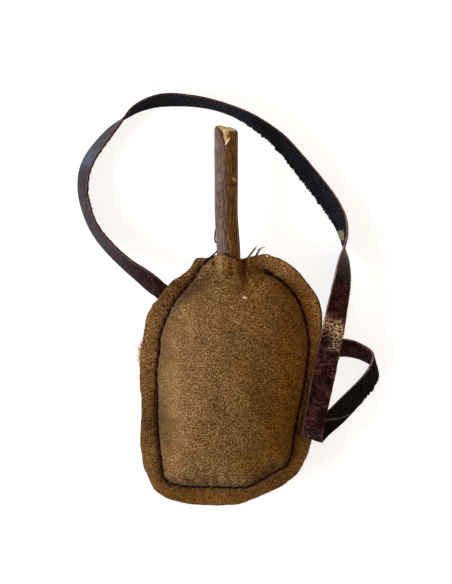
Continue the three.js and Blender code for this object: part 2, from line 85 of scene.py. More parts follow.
# the strap's two long edges, end to end, as in the CAD
E1 = np.array([
  [-25.95, 2.11, 12.00], [-30.86, 6.08, 12.00], [-35.23, 10.09, 8.75], [-39.75, 14.64, 6.67],
  [-44.78, 19.29, 5.22], [-49.66, 24.16, 3.88], [-53.66, 28.52, 2.63], [-57.07, 32.87, 1.52],
  [-59.67, 37.13, 0.55], [-61.89, 41.75, 0.55], [-63.51, 46.55, 0.55], [-64.74, 51.10, 0.55],
  [-65.21, 55.44, 0.55], [-65.17, 60.00, 0.55], [-64.44, 64.35, 0.55], [-62.77, 68.49, 0.55],
  [-60.66, 71.89, 0.55], [-57.66, 75.69, 0.55], [-54.73, 78.96, 0.55], [-51.54, 82.02, 0.55],
  [-48.43, 84.43, 0.55], [-45.22, 85.79, 0.55], [-42.14, 87.59, 0.55], [-39.36, 88.90, 0.55],
  [-35.93, 90.09, 0.55], [-31.22, 91.05, 0.55], [-26.50, 91.31, 0.55], [-21.78, 91.36, 0.55],
  [-17.06, 91.23, 0.55], [-12.33, 90.74, 0.55], [-7.61, 89.82, 0.55], [-2.89, 88.42, 0.55],
  [1.83, 86.40, 0.55], [6.54, 83.69, 0.55], [11.25, 80.27, 0.55], [15.95, 76.34, 0.55],
  [20.01, 72.19, 0.55], [24.05, 67.18, 0.55], [27.46, 62.70, 0.55], [30.98, 57.92, 0.55],
  [34.58, 53.23, 0.55], [37.97, 48.81, 0.55], [41.01, 44.43, 0.55], [43.33, 40.76, 0.55],
  [45.30, 36.92, 0.55], [46.79, 33.12, 0.83], [48.08, 29.23, 1.67], [49.25, 25.87, 3.06],
  [50.04, 21.73, 4.90], [50.42, 16.49, 7.10], [50.14, 11.31, 9.11], [49.50, 6.41, 10.88],
  [48.70, 1.34, 12.44], [47.84, -4.29, 13.66], [46.91, -10.06, 14.51], [45.76, -15.57, 15.08],
  [44.54, -21.23, 15.28], [43.38, -26.85, 15.29], [42.18, -32.27, 15.37], [41.00, -37.30, 15.90],
  [39.96, -41.90, 16.30], [38.91, -46.70, 16.80], [38.21, -50.43, 17.10], [37.92, -52.90, 16.90],
  [37.78, -54.04, 16.20], [37.85, -54.40, 15.40], [38.13, -53.98, 14.75], [38.90, -52.96, 14.35],
  [41.41, -50.46, 14.14], [44.47, -47.60, 11.32], [47.53, -44.76, 9.06], [50.75, -41.20, 6.42],
  [54.29, -37.19, 3.78], [57.36, -33.55, 1.66], [59.73, -30.62, 0.55], [61.32, -28.00, 0.55],
  [62.10, -25.58, 0.55], [62.16, -23.64, 0.55], [61.50, -22.11, 0.55], [60.07, -21.05, 0.55],
  [58.15, -19.82, 0.55], [54.92, -18.26, 0.98], [50.83, -17.34, 2.69], [46.48, -17.28, 5.19],
  [42.12, -18.38, 8.32], [37.76, -19.83, 12.00], [32.34, -20.25, 12.00]])
E2 = np.array([
  [-21.95, 8.19, 12.00], [-26.87, 12.17, 12.00], [-31.93, 15.89, 14.05], [-36.54, 18.92, 14.13],
  [-41.19, 21.83, 13.38], [-46.08, 25.98, 12.32], [-50.16, 29.91, 11.17], [-53.41, 34.10, 10.08],
  [-55.89, 37.09, 9.11], [-57.96, 41.59, 9.06], [-59.39, 45.68, 8.95], [-60.41, 49.79, 8.81],
  [-60.79, 53.69, 8.62], [-60.38, 57.61, 8.37], [-59.66, 61.31, 8.18], [-58.30, 65.07, 8.15],
  [-56.33, 68.34, 8.21], [-53.97, 71.77, 8.38], [-51.69, 75.22, 8.64], [-48.94, 78.44, 8.96],
  [-46.91, 81.69, 9.36], [-45.04, 83.92, 9.67], [-43.10, 87.80, 9.78], [-40.61, 89.77, 9.73],
  [-36.89, 92.06, 9.57], [-31.68, 94.07, 9.37], [-26.41, 94.70, 9.27], [-21.34, 94.42, 9.34],
  [-16.41, 93.65, 9.48], [-11.39, 92.80, 9.57], [-6.37, 91.49, 9.61], [-1.27, 89.88, 9.59],
  [3.75, 88.04, 9.49], [8.72, 85.91, 9.30], [13.81, 83.11, 9.03], [18.78, 79.76, 8.69],
  [23.57, 76.07, 8.30], [28.10, 71.03, 7.99], [31.91, 66.72, 7.69], [35.72, 62.15, 7.43],
  [39.59, 57.39, 7.31], [43.20, 52.50, 7.42], [46.19, 47.44, 7.76], [48.24, 42.80, 8.30],
  [49.18, 37.80, 8.96], [49.06, 32.87, 9.77], [47.53, 27.94, 10.73], [46.16, 25.14, 11.74],
  [44.99, 21.68, 12.70], [43.64, 16.57, 13.70], [42.32, 11.39, 14.49], [41.04, 6.33, 15.12],
  [39.69, 1.22, 15.56], [38.61, -3.92, 15.74], [37.47, -9.34, 15.49], [36.20, -14.63, 15.32],
  [34.87, -20.19, 15.32], [33.84, -25.42, 15.51], [32.85, -30.86, 15.83], [31.90, -36.06, 15.90],
  [31.04, -40.86, 16.30], [30.25, -45.04, 16.80], [29.69, -47.96, 17.10], [29.40, -50.21, 16.90],
  [29.29, -51.36, 16.20], [29.36, -51.71, 15.40], [29.72, -51.25, 14.75], [30.44, -50.31, 14.35],
  [33.62, -47.09, 14.96], [37.47, -43.35, 15.38], [41.32, -39.85, 14.14], [45.36, -35.75, 11.98],
  [49.08, -32.21, 9.82], [52.51, -28.82, 8.14], [55.13, -26.02, 7.37], [56.97, -23.70, 7.69],
  [58.31, -21.37, 8.00], [59.41, -19.04, 8.17], [59.76, -17.01, 8.16], [59.08, -15.48, 8.01],
  [57.30, -13.95, 7.86], [54.61, -12.43, 8.22], [51.22, -11.21, 9.71], [47.06, -10.72, 11.61],
  [42.37, -10.83, 12.88], [37.82, -10.93, 12.00], [32.39, -11.19, 12.00]])


# ------------------------------------------------------------------ small maths
def smooth01(v, a, b):
    t = np.clip((v - a) / (b - a), 0, 1)
    return t * t * (3 - 2 * t)


def _hash(ix, iy, iz, seed):
    h = (ix.astype(np.int64) * 374761393 + iy.astype(np.int64) * 668265263
         + iz.astype(np.int64) * 2147483647 + seed * 974634777) & 0xFFFFFFFF
    h = ((h ^ (h >> 13)) * 1274126177) & 0xFFFFFFFF
    h = ((h ^ (h >> 16)) * 2246822519) & 0xFFFFFFFF
    return ((h ^ (h >> 15)) & 0xFFFFFF) / float(0xFFFFFF) * 2 - 1


def noise(x, y=0.0, z=0.0, seed=1):
    """Smooth value noise in -1..1, one cell per unit."""
    x, y, z = np.broadcast_arrays(np.asarray(x, float), np.asarray(y, float), np.asarray(z, float))
    ix, iy, iz = np.floor(x), np.floor(y), np.floor(z)
    fx, fy, fz = x - ix, y - iy, z - iz
    fx, fy, fz = (f * f * f * (f * (f * 6 - 15) + 10) for f in (fx, fy, fz))
    out = 0
    for dx in (0, 1):
        for dy in (0, 1):
            for dz in (0, 1):
                w = (fx if dx else 1 - fx) * (fy if dy else 1 - fy) * (fz if dz else 1 - fz)
                out = out + w * _hash(ix + dx, iy + dy, iz + dz, seed)
    return out


def fractal(x, y=0.0, z=0.0, seed=1, octaves=3, gain=0.5):
    total, amp, f, s = 0, 1.0, 1.0, 0.0
    for k in range(octaves):
        total = total + amp * noise(np.asarray(x) * f, np.asarray(y) * f, np.asarray(z) * f, seed + 17 * k)
        s += amp
        amp *= gain
        f *= 2.03
    return total / s


def catmull(points, per, closed=False):
    """Centripetal-like Catmull-Rom through points, per samples a span."""
    p = np.asarray(points, float)
    n = len(p)
    out = []
    spans = n if closed else n - 1
    for i in range(spans):
        if closed:
            a, b, c, d = p[(i - 1) % n], p[i], p[(i + 1) % n], p[(i + 2) % n]
        else:
            a, b, c, d = p[max(0, i - 1)], p[i], p[i + 1], p[min(n - 1, i + 2)]
        t = np.linspace(0, 1, per, endpoint=False)[:, None]
        m1, m2 = (c - a) / 2, (d - b) / 2
        out.append((2 * t**3 - 3 * t**2 + 1) * b + (t**3 - 2 * t**2 + t) * m1
                   + (-2 * t**3 + 3 * t**2) * c + (t**3 - t**2) * m2)
    if not closed:
        out.append(p[-1:])
    return np.vstack(out)


def length_along(p):
    return np.r_[0, np.cumsum(np.linalg.norm(np.diff(p, axis=0), axis=1))]


def resample(p, step=None, count=None):
    d = length_along(p)
    n = count or max(2, int(round(d[-1] / step)) + 1)
    s = np.linspace(0, d[-1], n)
    return np.stack([np.interp(s, d, p[:, k]) for k in range(p.shape[1])], 1)


def blur(a, sigma, closed=False):
    r = int(3 * sigma) + 1
    k = np.exp(-0.5 * (np.arange(-r, r + 1) / sigma) ** 2)
    k /= k.sum()
    a = np.asarray(a, float)
    b = a[:, None] if a.ndim == 1 else a
    pad = np.pad(b, ((r, r), (0, 0)), mode="wrap" if closed else "edge")
    out = np.stack([np.convolve(pad[:, i], k, mode="valid") for i in range(b.shape[1])], 1)
    return out[:, 0] if a.ndim == 1 else out


def polar_radius(poly, angles, centre):
    """Outermost radius of a closed polygon seen from centre, at each angle."""
    a = poly - centre
    b = np.roll(poly, -1, axis=0) - centre
    out = np.zeros(len(angles))
    for i, th in enumerate(angles):
        d = np.array([math.cos(th), math.sin(th)])
        e = b - a
        det = d[0] * (-e[:, 1]) + d[1] * e[:, 0]
        det = np.where(abs(det) < 1e-12, 1e-12, det)
        t = (a[:, 0] * (-e[:, 1]) + a[:, 1] * e[:, 0]) / det
        s = (d[0] * a[:, 1] - d[1] * a[:, 0]) / det
        ok = (t > 0) & (s >= -1e-9) & (s <= 1 + 1e-9)
        out[i] = t[ok].max()
    return out


def to_stick(along, across, up):
    """Stick frame to row frame: along the stick from the mouth, across +X, up."""
    c, s = math.cos(STICK_TILT), math.sin(STICK_TILT)
    return np.stack([STICK_X + across, MOUTH_Y + along * c - up * s, SEAM_Z + along * s + up * c], -1)


# -------------------------------------------------------------------- materials
def material(name):
    m = bpy.data.materials.new(name)
    m.use_nodes = True
    nt = m.node_tree
    nt.nodes.clear()
    out = nt.nodes.new("ShaderNodeOutputMaterial")
    bsdf = nt.nodes.new("ShaderNodeBsdfPrincipled")
    bsdf.name = "Principled BSDF"
    nt.links.new(bsdf.outputs[0], out.inputs[0])
    return m, nt, bsdf


class Graph:
    """Short names for the nodes used below."""

    def __init__(self, nt):
        self.nt = nt

    def node(self, kind, **props):
        n = self.nt.nodes.new(kind)
        for k, v in props.items():
            setattr(n, k, v)
        return n

    def link(self, a, b):
        self.nt.links.new(a, b)

    def coords(self, scale=(1, 1, 1)):
        tc = self.node("ShaderNodeTexCoord")
        mp = self.node("ShaderNodeMapping")
        mp.inputs["Scale"].default_value = scale
        self.link(tc.outputs["Object"], mp.inputs["Vector"])
        return mp.outputs[0]

    def noise(self, vec, scale, detail=2.0, rough=0.5, distortion=0.0):
        n = self.node("ShaderNodeTexNoise")
        n.inputs["Scale"].default_value = scale
        n.inputs["Detail"].default_value = detail
        n.inputs["Roughness"].default_value = rough
        n.inputs["Distortion"].default_value = distortion
        self.link(vec, n.inputs["Vector"])
        return n.outputs["Fac"]

    def voronoi(self, vec, scale, feature="F1", randomness=1.0):
        n = self.node("ShaderNodeTexVoronoi", feature=feature)
        n.inputs["Scale"].default_value = scale
        n.inputs["Randomness"].default_value = randomness
        self.link(vec, n.inputs["Vector"])
        return n.outputs["Distance"]

    def ramp(self, fac, stops, interpolation="LINEAR"):
        n = self.node("ShaderNodeValToRGB")
        cr = n.color_ramp
        cr.interpolation = interpolation
        while len(cr.elements) < len(stops):
            cr.elements.new(0.5)
        for e, (pos, col) in zip(cr.elements, stops):
            e.position = pos
            e.color = tuple(col) + (1,) if len(col) == 3 else col
        self.link(fac, n.inputs[0])
        return n.outputs[0]

    def mix(self, fac, a, b, mode="MIX"):
        n = self.node("ShaderNodeMix", data_type="RGBA", blend_type=mode)
        for sock, v in ((n.inputs[0], fac), (n.inputs[6], a), (n.inputs[7], b)):
            if hasattr(v, "links") or hasattr(v, "is_linked"):
                self.link(v, sock)
            elif isinstance(v, (int, float)):
                sock.default_value = v
            else:
                sock.default_value = tuple(v) + (1,) if len(v) == 3 else v
        return n.outputs[2]

    def math(self, op, a, b=0.0, c=None, clamp=False):
        n = self.node("ShaderNodeMath", operation=op, use_clamp=clamp)
        for sock, v in zip(n.inputs, (a, b, c)):
            if v is None:
                continue
            if hasattr(v, "is_linked"):
                self.link(v, sock)
            else:
                sock.default_value = v
        return n.outputs[0]

    def attribute(self, name, out="Fac"):
        n = self.node("ShaderNodeAttribute", attribute_name=name)
        return n.outputs[out]

    def bump(self, height, strength, distance, normal=None):
        n = self.node("ShaderNodeBump")
        n.inputs["Strength"].default_value = strength
        n.inputs["Distance"].default_value = distance
        self.link(height, n.inputs["Height"])
        if normal is not None:
            self.link(normal, n.inputs["Normal"])
        return n.outputs[0]


def rgb(r, g, b):
    """sRGB 0-255 to linear."""
    out = []
    for v in (r, g, b):
        v /= 255
        out.append(v / 12.92 if v <= 0.04045 else ((v + 0.055) / 1.055) ** 2.4)
    return tuple(out)


def suede_material(name, light, mid, dark):
    """Napped suede: short matted fibres in grains about half a millimetre across,
    brushed patches, faint darker stains, a darker rim, painted shade in the stitch
    groove, and painted light and shade with a warm tint painted in with the shade."""
    m, nt, bsdf = material(name)
    g = Graph(nt)
    vec = g.coords()
    grain = g.noise(vec, 2450, 2.0, 0.5, 0.2)
    fine = g.noise(vec, 4000, 1.0, 0.5)
    tuft = g.noise(vec, 560, 3.0, 0.6, 0.6)
    patch = g.noise(vec, 95, 3.0, 0.55, 0.8)
    broad = g.noise(vec, 34, 2.0, 0.5, 0.6)
    base = g.ramp(grain, [(0.40, dark), (0.485, mid), (0.53, mid), (0.605, light)])
    base = g.mix(g.attribute("flat"), base, tuple(0.88 * a + 0.12 * b for a, b in zip(mid, light)))
    tone = g.ramp(tuft, [(0.36, (0.74, 0.72, 0.68)), (0.52, (1, 1, 1)), (0.66, (1.15, 1.15, 1.14))])
    base = g.mix(0.38, base, tone, "MULTIPLY")
    tone = g.ramp(patch, [(0.33, (0.84, 0.82, 0.78)), (0.55, (1, 1, 1)), (0.72, (1.10, 1.10, 1.10))])
    base = g.mix(0.6, base, tone, "MULTIPLY")
    wide = g.ramp(broad, [(0.38, (0.80, 0.77, 0.72)), (0.50, (1, 1, 1)), (0.64, (1.10, 1.11, 1.14))])
    base = g.mix(0.95, base, wide, "MULTIPLY")
    speck = g.ramp(fine, [(0.33, (0.66, 0.61, 0.56)), (0.45, (1, 1, 1)), (0.55, (1, 1, 1)), (0.66, (1.45, 1.43, 1.40))])
    base = g.mix(0.8, base, speck, "MULTIPLY")
    # painted light and shade from the panel, then the warm tint painted in with the shade
    base = g.mix(1.0, base, g.attribute("painted_light_and_tone"), "MULTIPLY")
    base = g.mix(g.attribute("warm"), base, g.mix(1.0, base, (1.0, 0.87, 0.44), "MULTIPLY"))
    rim = g.attribute("rim")
    base = g.mix(rim, base, g.mix(1.0, base, (0.88, 0.83, 0.76), "MULTIPLY"))
    # painted shade in the stitch groove
    groove = g.attribute("groove")
    base = g.mix(groove, base, g.mix(1.0, base, (0.48, 0.38, 0.35), "MULTIPLY"))
    g.link(base, bsdf.inputs["Base Color"])
    bsdf.inputs["Roughness"].default_value = 0.85
    bsdf.inputs["Specular IOR Level"].default_value = 0.06
    bsdf.inputs["Sheen Weight"].default_value = 0.03
    bsdf.inputs["Sheen Roughness"].default_value = 0.4
    bsdf.inputs["Sheen Tint"].default_value = (1.0, 0.90, 0.78, 1)
    h = g.math("ADD", g.math("MULTIPLY", grain, 0.7), g.math("MULTIPLY", fine, 0.3))
    h = g.math("ADD", h, g.math("MULTIPLY", tuft, 0.5))
    g.link(g.bump(h, 0.6, 0.0005), bsdf.inputs["Normal"])
    return m


suede_front = suede_material("suede_front", rgb(157, 123, 82), rgb(98, 68, 32), rgb(53, 32, 12))
suede_back = suede_material("suede_back", rgb(152, 118, 79), rgb(95, 65, 31), rgb(52, 31, 12))


def simple_material(name, stops, scale, rough, bump=0.3, distance=0.0002, detail=3.0):
    m, nt, bsdf = material(name)
    g = Graph(nt)
    n = g.noise(g.coords(), scale, detail, 0.6)
    g.link(g.ramp(n, stops), bsdf.inputs["Base Color"])
    bsdf.inputs["Roughness"].default_value = rough
    g.link(g.bump(n, bump, distance), bsdf.inputs["Normal"])
    return m


cut_edge = simple_material("cut_edge", [(0.35, rgb(50, 27, 12)), (0.55, rgb(92, 60, 30)), (0.72, rgb(138, 102, 64))], 1500, 0.95, 0.7, 0.0003)
grain_inside = simple_material("grain_inside", [(0.35, rgb(22, 5, 6)), (0.7, rgb(46, 15, 14))], 900, 0.5, 0.3, 0.0002)
for _m in (cut_edge, grain_inside):
    _m.node_tree.nodes["Principled BSDF"].inputs["Specular IOR Level"].default_value = 0.25


def mesh_object(name, verts_mm, faces, mats=(), face_mat=None, smooth=True):
    me = bpy.data.meshes.new(name)
    me.from_pydata([tuple(v) for v in (np.asarray(verts_mm, float) * MM)], [], [tuple(int(i) for i in f) for f in faces])
    for m in mats:
        me.materials.append(m)
    if face_mat is not None:
        me.polygons.foreach_set("material_index", np.asarray(face_mat, np.int32))
    me.polygons.foreach_set("use_smooth", np.full(len(me.polygons), smooth))
    me.update()
    o = bpy.data.objects.new(name, me)
    bpy.context.scene.collection.objects.link(o)
    return o


def set_attribute(o, name, values):
    a = o.data.attributes.get(name) or o.data.attributes.new(name, "FLOAT", "POINT")
    a.data.foreach_set("value", np.asarray(values, np.float32))


def apply_modifiers(o):
    dg = bpy.context.evaluated_depsgraph_get()
    dg.update()
    me = bpy.data.meshes.new_from_object(o.evaluated_get(dg), depsgraph=dg)
    o.modifiers.clear()
    old = o.data
    o.data = me
    bpy.data.meshes.remove(old)
    me.name = o.name
    return o


def coords_of(o):
    co = np.zeros(len(o.data.vertices) * 3)
    o.data.vertices.foreach_get("co", co)
    return co.reshape(-1, 3) / MM


def set_coords(o, mm):
    o.data.vertices.foreach_set("co", (np.asarray(mm) * MM).astype(np.float32).ravel())
    o.data.update()


# ----------------------------------------------------------------- bag outlines
TH = np.linspace(-math.pi, math.pi, 1441)
outline = catmull(OUTLINE, 8, closed=True)
stitch = catmull(STITCH, 8)
R_EDGE = polar_radius(outline, TH, CENTRE)
R_SEAM = polar_radius(np.vstack([stitch, stitch[:1]]), TH, CENTRE)
R_EDGE = blur(R_EDGE[:-1], 1.2, closed=True); R_EDGE = np.r_[R_EDGE, R_EDGE[0]]
R_SEAM = np.minimum(R_SEAM, R_EDGE - 0.6)
R_SEAM = blur(R_SEAM[:-1], 1.5, closed=True); R_SEAM = np.r_[R_SEAM, R_SEAM[0]]


def r_edge(th):
    return np.interp(th, TH, R_EDGE)


def r_seam(th):
    return np.interp(th, TH, R_SEAM)


TENT = np.array([[-8.2, 0], [-6.6, 0.35], [-5.7, 1.2], [-4.6, 3.2], [-2.7, 4.95], [-1.2, 5.3], [0.4, 5.2], [2.4, 5.0],
                 [4.1, 3.6], [5.0, 1.7], [5.8, 0.75], [6.7, 1.25], [8.0, 1.55], [10.0, 1.0], [12.5, 0.35], [15.5, 0]])
_tx = np.linspace(-12, 20, 641)
_tz = blur(np.interp(_tx, TENT[:, 0], TENT[:, 1], left=0, right=0), 7)


def tent(x):
    return np.interp(x - STICK_X, _tx, _tz, left=0, right=0)


def stitch_distance(x, y):
    """Distance to the stitch line and arc length along it."""
    p = resample(stitch, step=0.8)
    s = length_along(p)
    q = np.stack([np.ravel(x), np.ravel(y)], 1)
    best = np.full(len(q), 1e9)
    at = np.zeros(len(q))
    for i in range(0, len(p), 64):
        d = np.hypot(q[:, None, 0] - p[None, i:i + 64, 0], q[:, None, 1] - p[None, i:i + 64, 1])
        k = d.argmin(1)
        v = d[np.arange(len(q)), k]
        m = v < best
        best[m] = v[m]
        at[m] = s[i + k[m]]
    return best.reshape(np.shape(x)), at.reshape(np.shape(x))


def grid_disc(n, rings):
    """Quads: an n x n grid squeezed into the unit disc, then rings out of it.
    Returns (rho, theta, ring) per vertex, faces, and the outermost loop."""
    t = np.linspace(-1, 1, n + 1)
    u, v = np.meshgrid(t, t, indexing="ij")
    x, y = u * np.sqrt(1 - v * v / 2), v * np.sqrt(1 - u * u / 2)
    rho, th = np.hypot(x, y).ravel(), np.arctan2(y, x).ravel()
    idx = np.arange((n + 1) ** 2).reshape(n + 1, n + 1)
    faces = np.stack([idx[:-1, :-1], idx[1:, :-1], idx[1:, 1:], idx[:-1, 1:]], -1).reshape(-1, 4).tolist()
    loop = list(idx[:-1, 0]) + list(idx[-1, :-1]) + list(idx[:0:-1, -1]) + list(idx[0, :0:-1])
    loop = np.array(loop)
    ring = np.zeros(len(rho), int)
    k = len(loop)
    lt = th[loop]
    prev = loop
    for r in range(rings):
        new = np.arange(len(rho), len(rho) + k)
        rho = np.r_[rho, np.ones(k)]
        th = np.r_[th, lt]
        ring = np.r_[ring, np.full(k, r + 1)]
        for j in range(k):
            faces.append([prev[j], new[j], new[(j + 1) % k], prev[(j + 1) % k]])
        prev = new
    return rho, th, ring, faces, prev


# --------------------------------------------------------------- suede panels
def waviness(x, y):
    """How the flange rises and falls round the bag, the same for both panels."""
    return 0.55 * fractal(x / 17.0, y / 17.0, seed=5, octaves=2)


_c = (E1 + E2) / 2
_ends = np.vstack([resample(_c[:3], step=0.5), resample(_c[-4:], step=0.5)])[:, :2]


def over_strap(x, y):
    """1 where a strap end lies between the panels, 0 away from it."""
    d = np.full(np.shape(x), 1e9)
    for p in _ends:
        d = np.minimum(d, np.hypot(x - p[0], y - p[1]))
    return 1 - smooth01(d, 4.3, 7.0)


def panel_heights(rho, th, ring, rise, limit, deeper, seed, rings, edge_out):
    """Plan position and height above the seam plane of a panel's outer face."""
    rs, re = r_seam(th), r_edge(th) + edge_out(th)
    r = rho * rs
    out = ring > 0
    f = np.zeros(len(rho))
    f[out] = ring[out] / rings
    r = np.where(out, rs + (re - rs) * f, r)
    x = CENTRE[0] + r * np.cos(th)
    y = CENTRE[1] + r * np.sin(th)
    u = np.clip(r / (rs - 0.5), 0, 1)
    b = rise * np.power(np.clip(1 - np.power(u, 2.2), 0, 1), 0.72)
    t = tent(x) * (1 + deeper / 5.35) * smooth01(y - CENTRE[1], 14, 30)
    h = np.power(b ** 4 + t ** 4, 0.25)
    h = np.minimum(h, limit)
    return x, y, h, u, f


# painted light and shade on the front, with a warm tint painted in with the shade: centre, reach, tone, warmth
# the same painted light and shade round the seam allowance: angle in degrees, tone, warmth
FLANGE_LIGHT_AND_SHADE = ((-180, 1.40, 0.0), (-165, 0.88, 0.6), (-150, 0.80, 0.6), (-135, 1.20, 0.1), (-120, 1.12, 0.6), (-105, 1.14, 0.85),
          (-90, 1.0, 0.75), (-75, 0.97, 0.65), (-60, 0.74, 0.9), (-45, 0.84, 0.7), (-30, 1.0, 0.3), (-15, 1.0, 0.5), (0, 1.20, 0.3),
          (15, 1.50, 0.0), (30, 1.12, 0.0), (45, 0.84, 0.0), (60, 0.82, 0.0), (75, 0.68, 0.0), (90, 0.66, 0.0), (105, 0.66, 0.0),
          (120, 0.66, 0.3), (135, 0.76, 0.1), (150, 0.98, 0.0), (165, 1.42, 0.0))
PAINTED_LIGHT_SHADE_SPOTS = ((-17.0, 9.5, 11.0, 7.5, -0.42, 0.45), (-9.5, 15.4, 3.5, 3.0, -0.24, 0.60), (5.2, 15.8, 3.6, 5.8, -0.44, 0.70), (8.8, 14.6, 5.0, 4.0, -0.08, 0.40), (-28.8, -39.9, 3.2, 10.0, -0.32, 0.00), (9.5, -43.2, 10.0, 30.0, -0.24, 0.45), (15.2, -53.5, 9.0, 26.0, -0.06, 0.95), (23.5, -37.0, 7.0, 34.0, 0.03, 0.75), (-10.2, -58.5, 9.0, 12.0, 0.20, 0.00), (-0.4, -3.4, 8.0, 6.0, 0.10, 0.00), (-20.1, -41.2, 9.0, 8.0, -0.12, 0.00), (-11.6, 3.7, 6.0, 5.0, -0.12, 0.45), (11.1, -62.6, 10.0, 9.0, -0.03, 0.95), (23.2, -8.4, 6.0, 10.0, -0.20, 0.60), (13.7, 5.8, 6.5, 5.0, 0.13, 0.00), (-27.1, -61.7, 4.0, 9.0, -0.12, 0.40))


def make_panel(name, side, rise, limit, deeper, seed, edge_out, mats):
    N, RINGS = 92, 12
    rho, th, ring, faces, loop = grid_disc(N, RINGS)
    x, y, h, u, f = panel_heights(rho, th, ring, rise, limit, deeper, seed, RINGS, edge_out)
    d, s = stitch_distance(x, y)
    # ragged cut edge
    edge = smooth01(f, 0.75, 1.0)
    rag = 0.22 * fractal(np.cos(th) * 22 + 3, np.sin(th) * 22, seed=seed + 3, octaves=3)
    x = x + edge * rag * np.cos(th)
    y = y + edge * rag * np.sin(th)
    # puckers that run in from the stitches and die out on the belly
    inside = (ring == 0)
    pitch = 4.4
    fold = fractal(s / 5.2, seed=seed, octaves=2) + 0.45 * np.cos(2 * math.pi * s / pitch)
    amp = 0.42 * np.exp(-d / 5.5) * smooth01(d, 0.2, 2.0) * np.where(inside, 1.0, 0.55)
    h = h + amp * fold
    # the thread pulls a groove
    groove = np.exp(-(d / 0.95) ** 2)
    h = h - 0.55 * groove * (0.8 + 0.2 * np.cos(2 * math.pi * s / pitch))
    # gathers that fan out below the mouth
    if side > 0:
        fan = np.degrees(np.arctan2(x - STICK_X - 1.0, MOUTH_Y + 6 - y))
        gather = fractal(fan / 9.0, seed=seed + 7, octaves=2)
        h = h + 0.75 * gather * smooth01(MOUTH_Y - y, -1, 4) * (1 - smooth01(MOUTH_Y - y, 10, 24)) * (1 - smooth01(abs(fan), 45, 70))
        down = MOUTH_Y - y
        for cx, lean, wide, deep, reach in ((4.9, 0.02, 1.05, -1.6, 12), (-3.4, -0.05, 0.9, 0.75, 12), (-5.9, -0.10, 1.0, -0.6, 9),
                                            (8.2, 0.10, 1.5, 0.45, 10), (0.8, 0.0, 1.2, -0.35, 15), (2.6, 0.03, 1.0, 0.30, 9)):
            at = cx + lean * down
            h = h + deep * np.exp(-((x - at) / wide) ** 2) * (1 - smooth01(down, 0.35 * reach, reach)) * smooth01(down, -3, 1.5)
        # ruffled lip
        h = h + 0.22 * fractal(x / 1.3, seed=seed + 9, octaves=2) * np.exp(-np.clip(down, 0, 9) / 1.2) * (abs(x - STICK_X) < 14)
    # soft unevenness of hand stuffing
    lump = 0.55 * fractal(x / 15.0 + 4, y / 15.0, seed=seed + 11, octaves=2) * smooth01(1 - u, 0.02, 0.35)
    h = h + lump
    base = GAP / 2 + SUEDE_T
    if side < 0:
        h = np.minimum(h, limit)
    wave = waviness(x, y) * smooth01(u, 0.55, 1.0) * smooth01(abs(x - STICK_X), 6, 16)
    crown = 0.35 * np.sin(math.pi * np.clip(f, 0, 1)) * (ring > 0)
    # the strap lies on the right-hand flange and presses it flat
    under = smooth01(x, 20, 26) * smooth01(y, -68, -62) * (1 - smooth01(y, 6, 16))
    wave = np.where(wave * side > 0, wave * (1 - under), wave)
    # the flange curls up a little at the upper right
    curl = 1.0 * np.clip(f, 0, 1) ** 1.5 * (ring > 0) * smooth01(y, 8, 15) * smooth01(x, 14, 22)
    z = SEAM_Z + side * (base + h + crown * (1 - under) + 0.5 * over_strap(x, y)) + wave + curl * (1.0 if side > 0 else 0.8)
    if side < 0:
        z = np.maximum(z, 0.02)
    v = np.stack([x, y, z], 1)
    if side < 0:
        faces = [fc[::-1] for fc in faces]
    o = mesh_object(name, v, faces, mats)
    # painted light and shade, with a little random tone: painted shade along the seam and below the mouth on the
    # left, painted light on the upper flange, darker over the lower flange
    deg = np.degrees(th)
    flange = smooth01(f, 0.0, 0.25) * (ring > 0)
    # painted shade along the stitch line
    painted_light_and_tone = 1 - 0.26 * np.exp(-(d / 4.2) ** 2) * np.where(inside, 1.0, 0.3)
    warm = np.zeros_like(x)
    if side > 0:
        # painted light and shade spots, and the warm tint painted in with the shade
        for bx, by, bw, bh, tone, painted_warmth in PAINTED_LIGHT_SHADE_SPOTS:
            spot = np.exp(-np.hypot((x - bx) / bw, (y - by) / bh) ** 2)
            painted_light_and_tone = painted_light_and_tone + tone * spot
            warm = np.maximum(warm, painted_warmth * spot)
    # painted light on the upper flange, either side of the mouth
    painted_light_and_tone = painted_light_and_tone + flange * (0.52 * smooth01(deg, 14, 34) * (1 - smooth01(deg, 74, 84)) + 0.22 * smooth01(deg, 104, 116) * (1 - smooth01(deg, 150, 164)))
    painted_light_and_tone = painted_light_and_tone - 0.18 * flange * (1 - smooth01(y, -30, -12)) * (x < 24)
    painted_light_and_tone = painted_light_and_tone + 0.06 * fractal(x / 6.0, y / 6.0, seed=seed + 11, octaves=2)
    # painted light and shade round the flange by angle, and its painted warm tint
    at, tone, painted_warmth = np.array(FLANGE_LIGHT_AND_SHADE).T
    on = flange if side > 0 else 0.5 * flange
    painted_light_and_tone = painted_light_and_tone * (1 + on * (np.interp(deg, at, tone, period=360) - 1))
    warm = np.maximum(warm, on * np.interp(deg, at, painted_warmth, period=360))
    set_attribute(o, "painted_light_and_tone", np.clip(painted_light_and_tone, 0.4, 2.2))
    set_attribute(o, "warm", np.clip(warm, 0, 1))
    # the nap is brushed flat down the left of the front
    set_attribute(o, "flat", 0.42 * np.exp(-((x + 26.5) / 8.0) ** 2) * smooth01(y, -72, -56) * (1 - smooth01(y, -14, 4)) * inside * (side > 0)
                  + 0.30 * flange * (1 - smooth01(y, -62, -40)))
    set_attribute(o, "rim", 0.85 * smooth01(f, 0.0, 0.35) * (ring > 0))
    # painted shade along the stitch groove
    set_attribute(o, "groove", np.exp(-(d / 0.68) ** 2))
